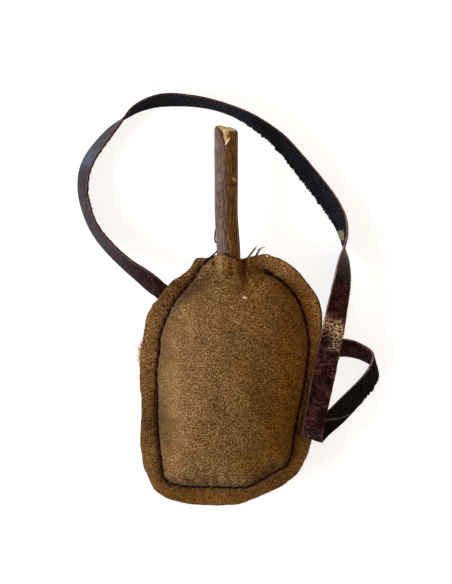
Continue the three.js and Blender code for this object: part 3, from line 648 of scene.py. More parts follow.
    # sewn along the stitches, pressed on the table, and gripping the stick
    held = np.exp(-np.clip(d - 0.5, 0, None) / 1.2)
    held = np.maximum(held, smooth01(f, 0.0, 0.3) * (ring > 0))
    held = np.maximum(held, smooth01(y, MOUTH_Y - 12, MOUTH_Y - 4))
    if side < 0:
        held = np.maximum(held, smooth01(-z, -0.9, -0.2))
    swell(o, np.clip(held, 0, 1), PRESSURE, 1.3 if side > 0 else 0.8, 0.045)
    if side < 0:
        co = coords_of(o)
        co[:, 2] = np.maximum(co[:, 2], 0.02)
        set_coords(o, co)
    return o


def swell(o, held, pressure, cap, grow, frames=20):
    """Cloth pass: the panel, cut a little too big, is blown out like leather over
    stuffing.  Points marked in held stay where they are sewn, and no point moves
    more than cap millimetres.  It runs at ten times the size, which suits the
    solver, and the result goes back into the mesh."""
    rest = coords_of(o)
    big = bpy.data.objects.new(o.name + "_sim", o.data.copy())
    bpy.context.scene.collection.objects.link(big)
    set_coords(big, rest * 10)
    vg = big.vertex_groups.new(name="held")
    for w in np.unique(np.round(held, 2)):
        if w > 0:
            vg.add([int(i) for i in np.nonzero(np.round(held, 2) == w)[0]], float(w), "REPLACE")
    md = big.modifiers.new("cloth", "CLOTH")
    c = md.settings
    c.quality = 6
    c.mass = 0.12
    c.tension_stiffness = c.compression_stiffness = 25
    c.shear_stiffness = 12
    c.bending_stiffness = 6
    c.tension_damping = c.compression_damping = c.shear_damping = 10
    c.bending_damping = 1
    c.air_damping = 4
    c.vertex_group_mass = "held"
    c.use_pressure = True
    c.uniform_pressure_force = pressure
    c.shrink_min = -grow
    c.effector_weights.gravity = 0
    md.collision_settings.use_self_collision = False
    md.collision_settings.use_collision = False
    md.point_cache.frame_start, md.point_cache.frame_end = 1, frames
    sc = bpy.context.scene
    for f in range(1, frames + 1):
        sc.frame_set(f)
    dg = bpy.context.evaluated_depsgraph_get()
    me = big.evaluated_get(dg).to_mesh()
    co = np.zeros(len(me.vertices) * 3)
    me.vertices.foreach_get("co", co)
    big.evaluated_get(dg).to_mesh_clear()
    sc.frame_set(1)
    moved = co.reshape(-1, 3) / MM / 10 - rest
    size = np.linalg.norm(moved, axis=1)
    print("SWELL", o.name, "median %.2f max %.2f mm" % (np.median(size), size.max()))
    moved *= (cap * np.tanh(size / cap) / np.maximum(size, 1e-9))[:, None]
    set_coords(o, rest + moved)
    old = big.data
    bpy.data.objects.remove(big)
    bpy.data.meshes.remove(old)


def finish_panel(o, thickness=SUEDE_T):
    sub = o.modifiers.new("sub", "SUBSURF")
    sub.levels = sub.render_levels = 1
    so = o.modifiers.new("solid", "SOLIDIFY")
    so.thickness = thickness * MM
    so.offset = -1
    so.use_rim = True
    so.material_offset = 2
    so.material_offset_rim = 1
    so.use_even_offset = False
    apply_modifiers(o)
    o.data.polygons.foreach_set("use_smooth", np.ones(len(o.data.polygons), bool))
    o.data.update()
    return o


def no_extra(th):
    return np.zeros_like(th)


def back_extra(th):
    """The back panel's cut edge shows past the front one at the upper right,
    and a little at the upper left and along the bottom."""
    deg = np.degrees(th)
    up_right = smooth01(deg, 18, 34) * (1 - smooth01(deg, 66, 74))
    up_left = smooth01(deg, 108, 116) * (1 - smooth01(deg, 132, 140))
    bottom = smooth01(deg, -112, -100) * (1 - smooth01(deg, -70, -58))
    return 1.0 * up_right + 0.40 * up_left + 0.25 * bottom - 0.25


PRESSURE = 4.0
REST = SEAM_Z - GAP / 2 - SUEDE_T
front = finish_panel(make_panel("front_suede", +1, FRONT_RISE, 99, 0.0, 21, no_extra, [suede_front, cut_edge, grain_inside]))
back = finish_panel(make_panel("back_suede", -1, BACK_RISE, REST, 0.5, 43, back_extra, [suede_back, cut_edge, grain_inside]))
for o, node, sl in ((front, "front_panel", "suede_front"), (back, "back_panel", "suede_back")):
    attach(o, "bag")
    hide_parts(node)


def front_surface_height(x, y):
    """Outer face of the finished front panel at plan points, by ray."""
    bpy.context.view_layer.update()
    out = []
    for a, b in zip(np.ravel(x), np.ravel(y)):
        hit, loc, nrm, _ = front.ray_cast(Vector((a * MM, b * MM, 0.08)), Vector((0, 0, -1)))
        out.append(loc.z / MM if hit else SEAM_Z + GAP / 2 + SUEDE_T)
    return np.array(out)


def back_surface_height(x, y):
    out = []
    for a, b in zip(np.ravel(x), np.ravel(y)):
        hit, loc, nrm, _ = back.ray_cast(Vector((a * MM, b * MM, -0.05)), Vector((0, 0, 1)))
        out.append(loc.z / MM if hit else SEAM_Z - GAP / 2 - SUEDE_T)
    return np.array(out)


# ------------------------------------------------------------------- stuffing
def make_stuffing():
    rho, th, ring, faces, loop = grid_disc(44, 0)
    lim = 0.88
    rs = r_seam(th) - 2.2
    r = rho * lim * rs
    x = CENTRE[0] + r * np.cos(th)
    y = CENTRE[1] + r * np.sin(th)
    b = FRONT_RISE * np.power(1 - np.power(np.clip(rho * lim, 0, 1), 2.1), 0.76)
    wob = 0.35 * fractal(x / 3.0, y / 3.0, seed=9, octaves=3)
    top = SEAM_Z + b - 1.1 + wob
    bot = np.maximum(SEAM_Z - b + 1.1 - wob, 1.9)
    n = len(rho)
    verts = np.vstack([np.stack([x, y, top], 1), np.stack([x, y, bot], 1)])
    # top and bottom halves, joined round their edge
    fs = [list(f) for f in faces] + [[i + n for i in f][::-1] for f in faces]
    k = len(loop)
    for j in range(k):
        a, b2 = loop[j], loop[(j + 1) % k]
        fs.append([a, a + n, b2 + n, b2])
    m, nt, bsdf = material("stuffing_fibre")
    g = Graph(nt)
    vec = g.coords()
    nn = g.noise(vec, 700, 5.0, 0.7, 1.2)
    g.link(g.ramp(nn, [(0.3, rgb(176, 166, 148)), (0.6, rgb(226, 218, 202))]), bsdf.inputs["Base Color"])
    bsdf.inputs["Roughness"].default_value = 1.0
    bsdf.inputs["Sheen Weight"].default_value = 0.4
    g.link(g.bump(nn, 1.0, 0.001), bsdf.inputs["Normal"])
    o = mesh_object("stuffing", verts, fs, [m])
    # hole for the stick
    cyl = []
    R, K = STICK_R + 0.3, 40
    cf = []
    alongs = [-STICK_IN - 1.0, 20.0]
    for a in alongs:
        for i in range(K):
            t = 2 * math.pi * i / K
            cyl.append(to_stick(a, R * math.cos(t), R * math.sin(t)))
    for i in range(K):
        j = (i + 1) % K
        cf.append([i, i + K, j + K, j][::-1])
    cf.append(list(range(K))[::-1][::-1])
    cf.append(list(range(K, 2 * K))[::-1])
    c = mesh_object("stick_hole", np.array(cyl), cf, [m])
    # make the cutter's normals consistent
    import bmesh
    for q in (c, o):
        bm = bmesh.new()
        bm.from_mesh(q.data)
        bmesh.ops.recalc_face_normals(bm, faces=bm.faces)
        bm.to_mesh(q.data)
        bm.free()
    bo = o.modifiers.new("hole", "BOOLEAN")
    bo.object = c
    bo.operation = "DIFFERENCE"
    bo.solver = "EXACT"
    apply_modifiers(o)
    bpy.data.objects.remove(c)
    return o


stuffing = make_stuffing()
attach(stuffing, "bag")
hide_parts("fibre_filling")


# ---------------------------------------------------------------------- stick
def sweep(points, radius, sides=8, caps=True, twist=0.0, ply=0.0):
    """A tube along points; radius may vary; ply gives it a laid-strand section."""
    p = np.asarray(points, float)
    n = len(p)
    r = np.broadcast_to(np.asarray(radius, float), (n,))
    t = np.gradient(p, axis=0)
    t /= np.linalg.norm(t, axis=1)[:, None] + 1e-12
    ref = np.array([0.0, 0.0, 1.0])
    verts = []
    up = None
    d = length_along(p)
    for i in range(n):
        if up is None:
            up = ref - t[i] * (ref @ t[i])
            if np.linalg.norm(up) < 1e-3:
                up = np.array([1.0, 0, 0]) - t[i] * t[i][0]
        else:
            up = up - t[i] * (up @ t[i])
        up = up / np.linalg.norm(up)
        sd = np.cross(t[i], up)
        a = np.linspace(0, 2 * math.pi, sides, endpoint=False)
        rr = r[i] * (1 + ply * np.cos(2 * (a + twist * d[i])))
        verts.append(p[i] + rr[:, None] * (np.cos(a)[:, None] * sd + np.sin(a)[:, None] * up))
    verts = np.vstack(verts)
    faces = []
    for i in range(n - 1):
        for k in range(sides):
            l = (k + 1) % sides
            faces.append([i * sides + k, i * sides + l, (i + 1) * sides + l, (i + 1) * sides + k])
    if caps:
        verts = np.vstack([verts, p[:1], p[-1:]])
        a, b, o = n * sides, n * sides + 1, (n - 1) * sides
        for k in range(sides):
            l = (k + 1) % sides
            faces.append([a, l, k])
            faces.append([b, o + k, o + l])
    return verts, [[int(v) for v in f][::-1] for f in faces]


def join(parts):
    vs, fs, at = [], [], 0
    for v, f in parts:
        vs.append(v)
        fs += [[i + at for i in q] for q in f]
        at += len(v)
    return np.vstack(vs), fs


def bark_material():
    m, nt, bsdf = material("bark")
    g = Graph(nt)
    tc = g.node("ShaderNodeTexCoord")
    mp = g.node("ShaderNodeMapping")
    mp.inputs["Scale"].default_value = (1, 0.09, 1)
    mp.inputs["Rotation"].default_value = (-STICK_TILT, 0, 0)
    g.link(tc.outputs["Object"], mp.inputs["Vector"])
    fib = g.noise(mp.outputs[0], 2300, 3.0, 0.6, 0.05)
    fib2 = g.noise(mp.outputs[0], 700, 3.0, 0.6, 0.15)
    spot = g.noise(g.coords(), 1500, 3.0, 0.6, 0.1)
    side = g.attribute("side")          # 0 grey purple side, 1 warm side
    grey = g.ramp(fib, [(0.36, rgb(43, 27, 19)), (0.5, rgb(71, 49, 36)), (0.64, rgb(98, 74, 56))])
    warm = g.ramp(fib, [(0.36, rgb(54, 32, 7)), (0.5, rgb(85, 55, 13)), (0.64, rgb(117, 86, 28))])
    base = g.mix(side, grey, warm)
    streak = g.ramp(fib2, [(0.34, (0.72, 0.70, 0.68)), (0.52, (1, 1, 1)), (0.7, (1.14, 1.12, 1.08))])
    base = g.mix(0.9, base, streak, "MULTIPLY")
    dots = g.ramp(spot, [(0.38, (0.52, 0.46, 0.42)), (0.47, (0.95, 0.95, 0.95)), (0.53, (1, 1, 1)), (0.62, (1.5, 1.42, 1.32))])
    base = g.mix(0.7, base, dots, "MULTIPLY")
    # painted sheen along the stick's left and right sides
    base = g.mix(g.attribute("edge_sheen"), base, g.ramp(fib, [(0.36, rgb(60, 60, 46)), (0.5, rgb(98, 98, 80)), (0.64, rgb(132, 134, 112))]))
    knot = g.attribute("knot")
    base = g.mix(knot, base, rgb(30, 17, 8))
    base = g.mix(g.math("MULTIPLY", g.attribute("scar"), 0.75), base, rgb(178, 142, 92))
    g.link(base, bsdf.inputs["Base Color"])
    bsdf.inputs["Roughness"].default_value = 0.62
    bsdf.inputs["Specular IOR Level"].default_value = 0.22
    h = g.math("ADD", g.math("MULTIPLY", fib, 0.6), g.math("MULTIPLY", fib2, 0.4))
    g.link(g.bump(h, 0.6, 0.00035), bsdf.inputs["Normal"])
    return m


def wood_material():
    m, nt, bsdf = material("bare_wood")
    g = Graph(nt)
    tc = g.node("ShaderNodeTexCoord")
    mp = g.node("ShaderNodeMapping")
    mp.inputs["Scale"].default_value = (1, 0.12, 1)
    g.link(tc.outputs["Object"], mp.inputs["Vector"])
    fib = g.noise(mp.outputs[0], 1700, 3.0, 0.6, 0.2)
    fleck = g.noise(g.coords(), 1200, 3.0, 0.65)
    base = g.ramp(fib, [(0.34, rgb(100, 93, 48)), (0.5, rgb(178, 168, 112)), (0.64, rgb(234, 222, 172))])
    radial = g.attribute("radial")
    wobble = g.math("MULTIPLY_ADD", g.noise(g.coords(), 500, 2.0, 0.5), 0.9, radial)
    ring = g.math("SINE", g.math("MULTIPLY", wobble, 9.0))
    rings = g.ramp(g.math("MULTIPLY_ADD", ring, 0.5, 0.5), [(0.0, (1.08, 1.08, 1.05)), (0.55, (1, 1, 1)), (1.0, (0.62, 0.56, 0.42))])
    on_cap = g.ramp(radial, [(0.0, (0, 0, 0)), (0.03, (1, 1, 1))])
    base = g.mix(g.math("MULTIPLY", on_cap, 0.75), base, rings, "MULTIPLY")
    pith = g.ramp(g.math("MULTIPLY", radial, 0.1), [(0.008, (0, 0, 0)), (0.012, (1, 1, 1)), (0.045, (1, 1, 1)), (0.075, (0, 0, 0))])
    base = g.mix(pith, base, rgb(96, 62, 26))
    base = g.mix(g.attribute("peel"), base, g.ramp(fib, [(0.36, rgb(92, 56, 24)), (0.5, rgb(158, 114, 66)), (0.64, rgb(206, 166, 112))]))
    base = g.mix(0.5, base, g.ramp(fleck, [(0.35, (0.7, 0.66, 0.56)), (0.6, (1.1, 1.1, 1.08))]), "MULTIPLY")
    g.link(base, bsdf.inputs["Base Color"])
    bsdf.inputs["Roughness"].default_value = 0.7
    g.link(g.bump(g.math("ADD", fib, fleck), 0.5, 0.0003), bsdf.inputs["Normal"])
    return m


mat_bark = bark_material()
mat_wood = wood_material()
mat_fresh = simple_material("fresh_splinter", [(0.35, rgb(196, 168, 128)), (0.6, rgb(232, 212, 178)), (0.8, rgb(246, 234, 208))], 1500, 0.6, 0.3, 0.0001)
CUT_SLOPE = math.tan(math.radians(17))     # the tip is cut back towards its top


def stick_radius(a, t):
    """Bark radius at a distance along from the mouth and an angle round."""
    r = STICK_R + 0.05 + 0.05 * np.sin(a / 9.0 + 1.0) + 0.12 * smooth01(a, 18, 34)
    r = r + 0.10 * fractal(np.cos(t) * 1.2 + 5, np.sin(t) * 1.2, a / 16.0, seed=61, octaves=3)
    # long shallow ribs
    r = r + 0.055 * fractal(np.cos(t) * 5.0, np.sin(t) * 5.0, a / 26.0, seed=67, octaves=2)
    # a knot on the right, with a lip over it
    ka, kt = STICK_OUT * 0.567, math.radians(45)
    dt = np.angle(np.exp(1j * (t - kt)))
    g = np.exp(-((a - ka) / 2.0) ** 2 - (dt * STICK_R / 2.4) ** 2)
    r = r + 0.30 * g
    lip = np.exp(-((a - ka + 1.5) / 0.33) ** 2 - (dt * STICK_R / 2.8) ** 2)
    r = r - 0.38 * lip
    return r, lip


def bend(a):
    """A cut twig isn't quite straight: it leans left above the mouth."""
    return -1.05 * smooth01(a, -1, 21)


def chip(a, x, up):
    """The V peeled out of the bark below the cut: how much of it is off (0..1)
    and how deep the knife went, in millimetres."""
    a0 = STICK_OUT - 9.1
    half = np.interp(a, [a0, a0 + 2.6, a0 + 6.6, a0 + 9.1], [0.0, 1.0, 2.25, 2.6])
    mid = -0.35 - 0.04 * (a - a0)
    m = smooth01(half - abs(x - mid), -0.05, 0.22) * (a > a0 - 0.1) * smooth01(up, 0.5, 1.5)
    return m, 0.25 + 0.13 * np.clip(a - a0, 0, 9)


def build_stick():
    K = 176
    t = np.linspace(0, 2 * math.pi, K, endpoint=False)     # 0 is +X, pi/2 is up
    end = STICK_OUT - 1.25 - CUT_SLOPE * STICK_R * np.sin(t) - 0.85 * np.cos(t) + 0.22 * noise(t * 6 / math.pi, seed=3)
    # bark: a closed sleeve from the inside end to the slanted cut
    rows = [np.full(K, a) for a in np.linspace(-STICK_IN, 0, 40, endpoint=False)]
    rows += [q * (end - 9) for q in np.linspace(0, 1, 110, endpoint=False)]
    rows += [end - 9 + q * 9 for q in np.linspace(0, 1, 42)]
    a = np.array(rows)
    tt = np.broadcast_to(t, a.shape)
    r, lip = stick_radius(a, tt)
    r = r - 0.55 * smooth01(a - end, -1.3, 0.0) ** 2            # worn rim at the cut
    off, deep = chip(a, r * np.cos(tt), r * np.sin(tt))
    r_out = r * (1 - off) + (r - deep - 0.45) * off
    P = to_stick(a, r_out * np.cos(tt) + bend(a), r_out * np.sin(tt)).reshape(-1, 3)
    n = len(P)
    R = len(rows)
    r_in = np.minimum(3.95, r_out - 0.25)
    Q = to_stick(a, r_in * np.cos(tt) + bend(a), r_in * np.sin(tt)).reshape(-1, 3)
    faces = []
    for i in range(R - 1):
        for j in range(K):
            k = (j + 1) % K
            faces.append([i * K + j, i * K + k, (i + 1) * K + k, (i + 1) * K + j])
            faces.append([n + i * K + j, n + (i + 1) * K + j, n + (i + 1) * K + k, n + i * K + k])
    for j in range(K):
        k = (j + 1) % K
        faces.append([j, n + j, n + k, k])
        e = (R - 1) * K
        faces.append([e + j, e + k, n + e + k, n + e + j])
    bark = mesh_object("twig_bark", np.vstack([P, Q]), faces, [mat_bark])
    side = smooth01(np.cos(tt) + 0.18 * fractal(np.cos(tt) * 2, np.sin(tt) * 2, a / 7.0, seed=71), -0.12, 0.28)
    ka, kt = STICK_OUT * 0.567, math.radians(48)
    dt = np.angle(np.exp(1j * (tt - kt)))
    scar = np.exp(-((a - ka - 0.7 - 0.25 * dt * STICK_R) / 1.1) ** 2 - (dt * STICK_R / 1.5) ** 2)
    scar = smooth01(scar + 0.25 * fractal(a / 0.6, tt * 8, seed=73), 0.35, 0.75)
    seam = np.exp(-((tt - math.radians(82) - 0.02 * np.sin(a / 3)) * STICK_R / 0.16) ** 2) * smooth01(a, 0, 4) * (1 - smooth01(a, 26, 34))
    seam = seam * smooth01(fractal(a / 3.5, seed=75), -0.5, 0.1)
    set_attribute(bark, "side", np.r_[side.ravel(), side.ravel()])
    # painted sheen along the far left side, and fainter on the far right
    grey = 0.42 * smooth01(-np.cos(tt), 0.80, 0.97) * (0.7 + 0.5 * fractal(a / 5.0, tt * 3, seed=77)) + 0.28 * smooth01(np.cos(tt), 0.90, 0.99) * smooth01(a, 20, 30)
    set_attribute(bark, "edge_sheen", np.r_[np.clip(grey, 0, 1).ravel(), np.zeros(n)])
    set_attribute(bark, "knot", np.r_[np.clip(lip * 1.3 + 0.6 * seam, 0, 1).ravel(), np.zeros(n)])
    set_attribute(bark, "scar", np.r_[scar.ravel(), np.zeros(n)])
    # wood: a solid core, showing in the chip and on the slanted cut
    rows = [np.full(K, v) for v in np.linspace(-STICK_IN + 0.4, 0, 20, endpoint=False)]
    rows += [q * (end - 9) for q in np.linspace(0, 1, 20, endpoint=False)]
    rows += [end - 9 + q * 9.05 for q in np.linspace(0, 1, 42)]
    aw = np.array(rows)
    tw = np.broadcast_to(t, aw.shape)
    rb, _ = stick_radius(aw, tw)
    off, deep = chip(aw, rb * np.cos(tw), rb * np.sin(tw))
    step = 0.10 * fractal(aw / 0.9, tw * 5, seed=83, octaves=2)
    rw = 3.88 + 0.03 * fractal(np.cos(tw) * 4, np.sin(tw) * 4, aw / 8, seed=81)
    rw = rw * (1 - off) + (rb - deep + step) * off
    W = to_stick(aw, rw * np.cos(tw) + bend(aw), rw * np.sin(tw)).reshape(-1, 3)
    m = len(W)
    faces = []
    Rw = len(rows)
    for i in range(Rw - 1):
        for j in range(K):
            k = (j + 1) % K
            faces.append([i * K + j, i * K + k, (i + 1) * K + k, (i + 1) * K + j])
    verts = [W]
    prev = np.arange((Rw - 1) * K, Rw * K)
    count = m
    last = rw[-1]
    for q in (0.9, 0.75, 0.6, 0.45, 0.3, 0.15):
        ae = STICK_OUT - 1.22 - CUT_SLOPE * STICK_R * np.sin(t) * q * 0.8 - 0.78 * np.cos(t) * q + 0.35 * (1 - q)
        re = last * q
        rough = 0.14 * fractal(re * np.cos(t) / 1.1, re * np.sin(t) / 1.1, seed=91)
        verts.append(to_stick(ae + rough, re * np.cos(t) + bend(ae), re * np.sin(t)))
        cur = np.arange(count, count + K)
        for j in range(K):
            k = (j + 1) % K
            faces.append([prev[j], prev[k], cur[k], cur[j]])
        prev = cur
        count += K
    verts.append(to_stick(np.array([STICK_OUT - 0.9]), np.array([0.0]) + bend(np.array([STICK_OUT])), np.array([0.0])))
    for j in range(K):
        faces.append([prev[j], prev[(j + 1) % K], count])
    count += 1
    verts.append(to_stick(np.array([-STICK_IN + 0.4]), np.array([0.0]), np.array([0.0])))
    for j in range(K):
        faces.append([(j + 1) % K, j, count])
    # a pale splinter left standing along the right of the chip
    tip = STICK_OUT - 9.0
    ks = np.linspace(0, 1, 16)
    sa = tip + 3.4 * ks
    sx = -0.40 + 2.0 * ks
    sr = np.sqrt(np.maximum(STICK_R ** 2 - sx ** 2, 1)) - 0.05 + 0.25 * ks
    line = to_stick(sa, sx + bend(sa), sr)
    sv, sf = sweep(line, 0.06 + 0.36 * np.sin(np.clip(ks, 0, 1) * math.pi) ** 0.8, 8, True)
    base = sum(len(v) for v in verts)
    verts.append(sv)
    faces += [[i + base for i in f] for f in sf]
    which = np.zeros(len(faces), np.int32)
    which[-len(sf):] = 1
    wood = mesh_object("twig_wood", np.vstack(verts), faces, [mat_wood, mat_fresh], which)
    radial = np.zeros(len(wood.data.vertices))
    radial[m:m + 6 * K] = np.repeat([0.9, 0.75, 0.6, 0.45, 0.3, 0.15], K) * np.tile(last, 6)
    radial[m - K:m] = last
    radial[m + 6 * K] = 0.12
    set_attribute(wood, "radial", radial)
    peel = np.zeros(len(wood.data.vertices))
    peel[:m] = (off * smooth01(end[None, :] + 0 * aw - aw, 0.0, 0.6)).ravel()
    set_attribute(wood, "peel", peel)
    return bark, wood


bark, wood = build_stick()
for o, node, sl in ((bark, "stick_bark", "bark"), (wood, "stick_wood", "wood")):
    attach(o, "stick")
    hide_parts(node)


# --------------------------------------------------------------------- thread
def thread_material():
    m, nt, bsdf = material("waxed_thread")
    g = Graph(nt)
    n = g.noise(g.coords(), 2500, 2.0, 0.6)
    g.link(g.ramp(n, [(0.35, rgb(8, 1, 3)), (0.6, rgb(26, 6, 11)), (0.8, rgb(74, 34, 42))]), bsdf.inputs["Base Color"])
    bsdf.inputs["Roughness"].default_value = 0.75
    bsdf.inputs["Specular IOR Level"].default_value = 0.05
    g.link(g.bump(n, 0.4, 0.0001), bsdf.inputs["Normal"])
    return m


mat_thread = thread_material()


STITCH_MM = 4.4


def stitches(name, side, height_at, line, count=None):
    p = resample(line, step=0.1)
    d = length_along(p)
    n = count or int(round(d[-1] / STITCH_MM))
    parts = []
    rr = np.random.default_rng(31 if side > 0 else 32)
    for k in range(n):
        s0, s1 = d[-1] * k / n, d[-1] * (k + 1) / n
        s0, s1 = s0 + 0.08 + 0.12 * rr.random(), s1 - 0.08 - 0.12 * rr.random()
        q = np.linspace(0, 1, 15)
        s = s0 + (s1 - s0) * q
        x, y = np.interp(s, d, p[:, 0]), np.interp(s, d, p[:, 1])
        # each stitch slants a hair across the line
        tx, ty = np.gradient(x), np.gradient(y)
        l = np.hypot(tx, ty)
        off = (0.20 * (q - 0.5) * 2 + 0.12 * (rr.random() - 0.5))
        x, y = x + off * -ty / l, y + off * tx / l
        z = height_at(x, y)
        z = blur(z, 2.0)
        dip = np.power(abs(2 * q - 1), 6)
        z = z + side * (0.20 - 0.80 * dip)
        rad = 0.39 * (1 - 0.25 * dip)
        parts.append(sweep(np.stack([x, y, z], 1), rad, 10, True, twist=3.0, ply=0.10))
    # sewn back over itself at the right end of the mouth
    for k, (back0, back1, off) in enumerate(((0.0, 2.7, 0.50), (0.5, 3.9, -0.42), (0.1, 2.2, 0.12), (1.2, 3.2, -0.05))):
        q = np.linspace(0, 1, 15)
        s = d[-1] - back0 - (back1 - back0) * q
        x, y = np.interp(s, d, p[:, 0]), np.interp(s, d, p[:, 1])
        tx, ty = np.gradient(x), np.gradient(y)
        l = np.hypot(tx, ty)
        o2 = off * (1 - 0.8 * (q - 0.4))
        x, y = x + o2 * -ty / l, y + o2 * tx / l
        z = blur(height_at(x, y), 2.0) + side * (0.34 + 0.14 * k - 0.85 * np.power(abs(2 * q - 1), 6))
        parts.append(sweep(np.stack([x, y, z], 1), 0.44, 10, True, twist=3.0, ply=0.10))
    v, f = join(parts)
    return mesh_object(name, v, f, [mat_thread])


front_stitches = stitches("front_stitches", +1, front_surface_height, stitch[6:])
back_stitches = stitches("back_stitches", -1, back_surface_height, stitch[6:])


def tail(points, r=0.3, end=None):
    p = catmull(np.array(points, float), 8)
    v, f = sweep(p, np.linspace(r, r * 0.7 if end is None else end, len(p)), 8, True, twist=3.0, ply=0.12)
    return v, f


tails_v, tails_f = join([tail([[-9.77, 21.87, 15.00], [-8.31, 23.45, 14.40], [-7.06, 24.88, 13.40], [-5.89, 26.16, 12.00], [-5.56, 28.30, 10.60], [-5.65, 29.77, 11.00], [-6.40, 30.12, 12.00], [-6.69, 31.38, 12.60], [-6.61, 33.47, 12.80], [-6.36, 35.57, 13.00]], 0.34, 0.34), tail([[6.35, 22.37, 13.20], [7.18, 23.62, 13.30], [8.44, 25.27, 13.60], [9.70, 26.84, 13.60], [10.80, 28.22, 13.20]], 0.26), tail([[9.87, 23.21, 13.20], [10.62, 24.62, 13.40], [11.37, 26.02, 13.70], [12.38, 27.32, 13.50], [14.19, 27.92, 13.20]], 0.26), tail([[6.85, 22.40, 13.00], [7.77, 23.67, 13.00], [8.87, 25.24, 13.00], [9.96, 26.62, 13.10], [10.55, 27.57, 13.00]], 0.20), tail([[10.08, 23.24, 13.00], [10.92, 24.52, 13.00], [11.72, 25.69, 13.10], [12.31, 26.79, 13.10], [13.15, 27.32, 13.00]], 0.20)])
mat_tip = simple_material('thread_tip', [(0.35, rgb(66, 44, 32)), (0.55, rgb(140, 108, 74)), (0.75, rgb(196, 170, 128))], 1500, 0.9, 0.3, 0.0001)
TIP_Y = (27.03)
tip = [int(np.mean(tails_v[list(q), 0]) > 0 and np.mean(tails_v[list(q), 1]) > TIP_Y) for q in tails_f]
tails = mesh_object('thread_tails', tails_v, tails_f, [mat_thread, mat_tip], tip)
def fibre(at, out, length, r, rr, lift=0.15):
    """One loose fibre: a thin closed tapering hair."""
    out = np.asarray(out, float) / (np.linalg.norm(out) + 1e-9)
    sidew = np.cross(out, [0, 0, 1.0])
    k = np.linspace(0, 1, 5)[:, None]
    curl = (rr.random() - 0.5) * 1.1
    rise = lift * (rr.random() * 1.6 - 0.6)
    p = np.asarray(at) + out * length * k + sidew * curl * length * k ** 2 + np.array([0, 0, 1.0]) * rise * length * k ** 1.5
    return sweep(p, r * (1 - 0.75 * k[:, 0]), 4, True)


def edge_fuzz():
    rr = np.random.default_rng(77)
    parts = []
    for extra, height, side, many in ((no_extra, front_surface_height, 1, 360), (back_extra, back_surface_height, -1, 170)):
        th = np.sort(rr.uniform(-math.pi, math.pi, many))
        rad = r_edge(th) + extra(th)
        d = np.stack([np.cos(th), np.sin(th), 0 * th], 1)
        at = np.stack([CENTRE[0] + (rad - 0.4) * d[:, 0], CENTRE[1] + (rad - 0.4) * d[:, 1]], 1)
        inner = np.stack([CENTRE[0] + (rad - 0.9) * d[:, 0], CENTRE[1] + (rad - 0.9) * d[:, 1]], 1)
        z = height(inner[:, 0], inner[:, 1]) - side * rr.uniform(0.15, 1.0, many)
        for k in range(many):
            tang = np.array([-d[k, 1], d[k, 0], 0]) * rr.uniform(-0.9, 0.9)
            parts.append(fibre((at[k, 0], at[k, 1], z[k]), d[k] + tang, 0.35 + rr.uniform(0.3, 0.8), rr.uniform(0.04, 0.08), rr))
    # a longer tuft has pulled out of the left edge
    soft = sum(len(f) for _, f in parts)
    for k in range(58):
        yy = rr.uniform(LEFT_TUFT[1], LEFT_TUFT[0])
        t = math.atan2(yy - CENTRE[1], -36 - CENTRE[0])
        r = float(r_edge(t))
        d = np.array([math.cos(t), math.sin(t), 0])
        at = (CENTRE[0] + (r - 0.4) * d[0], CENTRE[1] + (r - 0.4) * d[1], SEAM_Z + rr.uniform(0.1, 1.2))
        parts.append(fibre(at, d * 0.55 + np.array([0, 1.2, 0]), rr.uniform(1.8, 4.8), rr.uniform(0.09, 0.15), rr, 0.1))
    v, f = join(parts)
    return mesh_object("edge_fuzz", v, f, [mat_fuzz, mat_pale_fuzz], [int(i >= soft) for i in range(len(f))])


mat_fuzz = simple_material("suede_fuzz", [(0.35, rgb(96, 66, 36)), (0.6, rgb(150, 116, 76)), (0.8, rgb(206, 184, 150))], 1500, 0.9, 0.3, 0.0001)
mat_pale_fuzz = simple_material("pulled_fuzz", [(0.35, rgb(126, 98, 66)), (0.6, rgb(190, 166, 130)), (0.8, rgb(236, 222, 196))], 1500, 0.9, 0.3, 0.0001)
LEFT_TUFT = (-14.6, -23.4)
fuzz = edge_fuzz()
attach(fuzz, "bag")


def lint():
    """A pale scrap of fluff caught on the nap, and two more near the seam."""
    rr = np.random.default_rng(5)
    parts = []
    for x, y, n, L in ((5.8, 5.0, 13, 1.15), (-30.8, -26.5, 2, 0.8), (15.3, 23.9, 6, 0.8), (10.7, 27.9, 3, 0.6), (13.9, 27.6, 3, 0.6)):
        z = float(front_surface_height([x], [y])[0]) + 0.04
        for k in range(n):
            a = rr.uniform(0, 2 * math.pi)
            d = np.array([math.cos(a) * 1.6, math.sin(a) * 0.7, 0])
            parts.append(fibre((x + rr.uniform(-0.3, 0.3), y + rr.uniform(-0.12, 0.12), z), d, L * rr.uniform(0.5, 1.0), 0.15, rr, 0.25))
    v, f = join(parts)
    return mesh_object("lint", v, f, [mat_lint])


mat_lint = simple_material("cotton_lint", [(0.35, rgb(214, 190, 160)), (0.7, rgb(250, 240, 222))], 1500, 0.9, 0.3, 0.0001)
fluff = lint()
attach(fluff, "bag")
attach(tails, "bag")
for o, node in ((front_stitches, "needle_thread"), (back_stitches, "bobbin_thread")):
    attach(o, "bag")
    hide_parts(node)


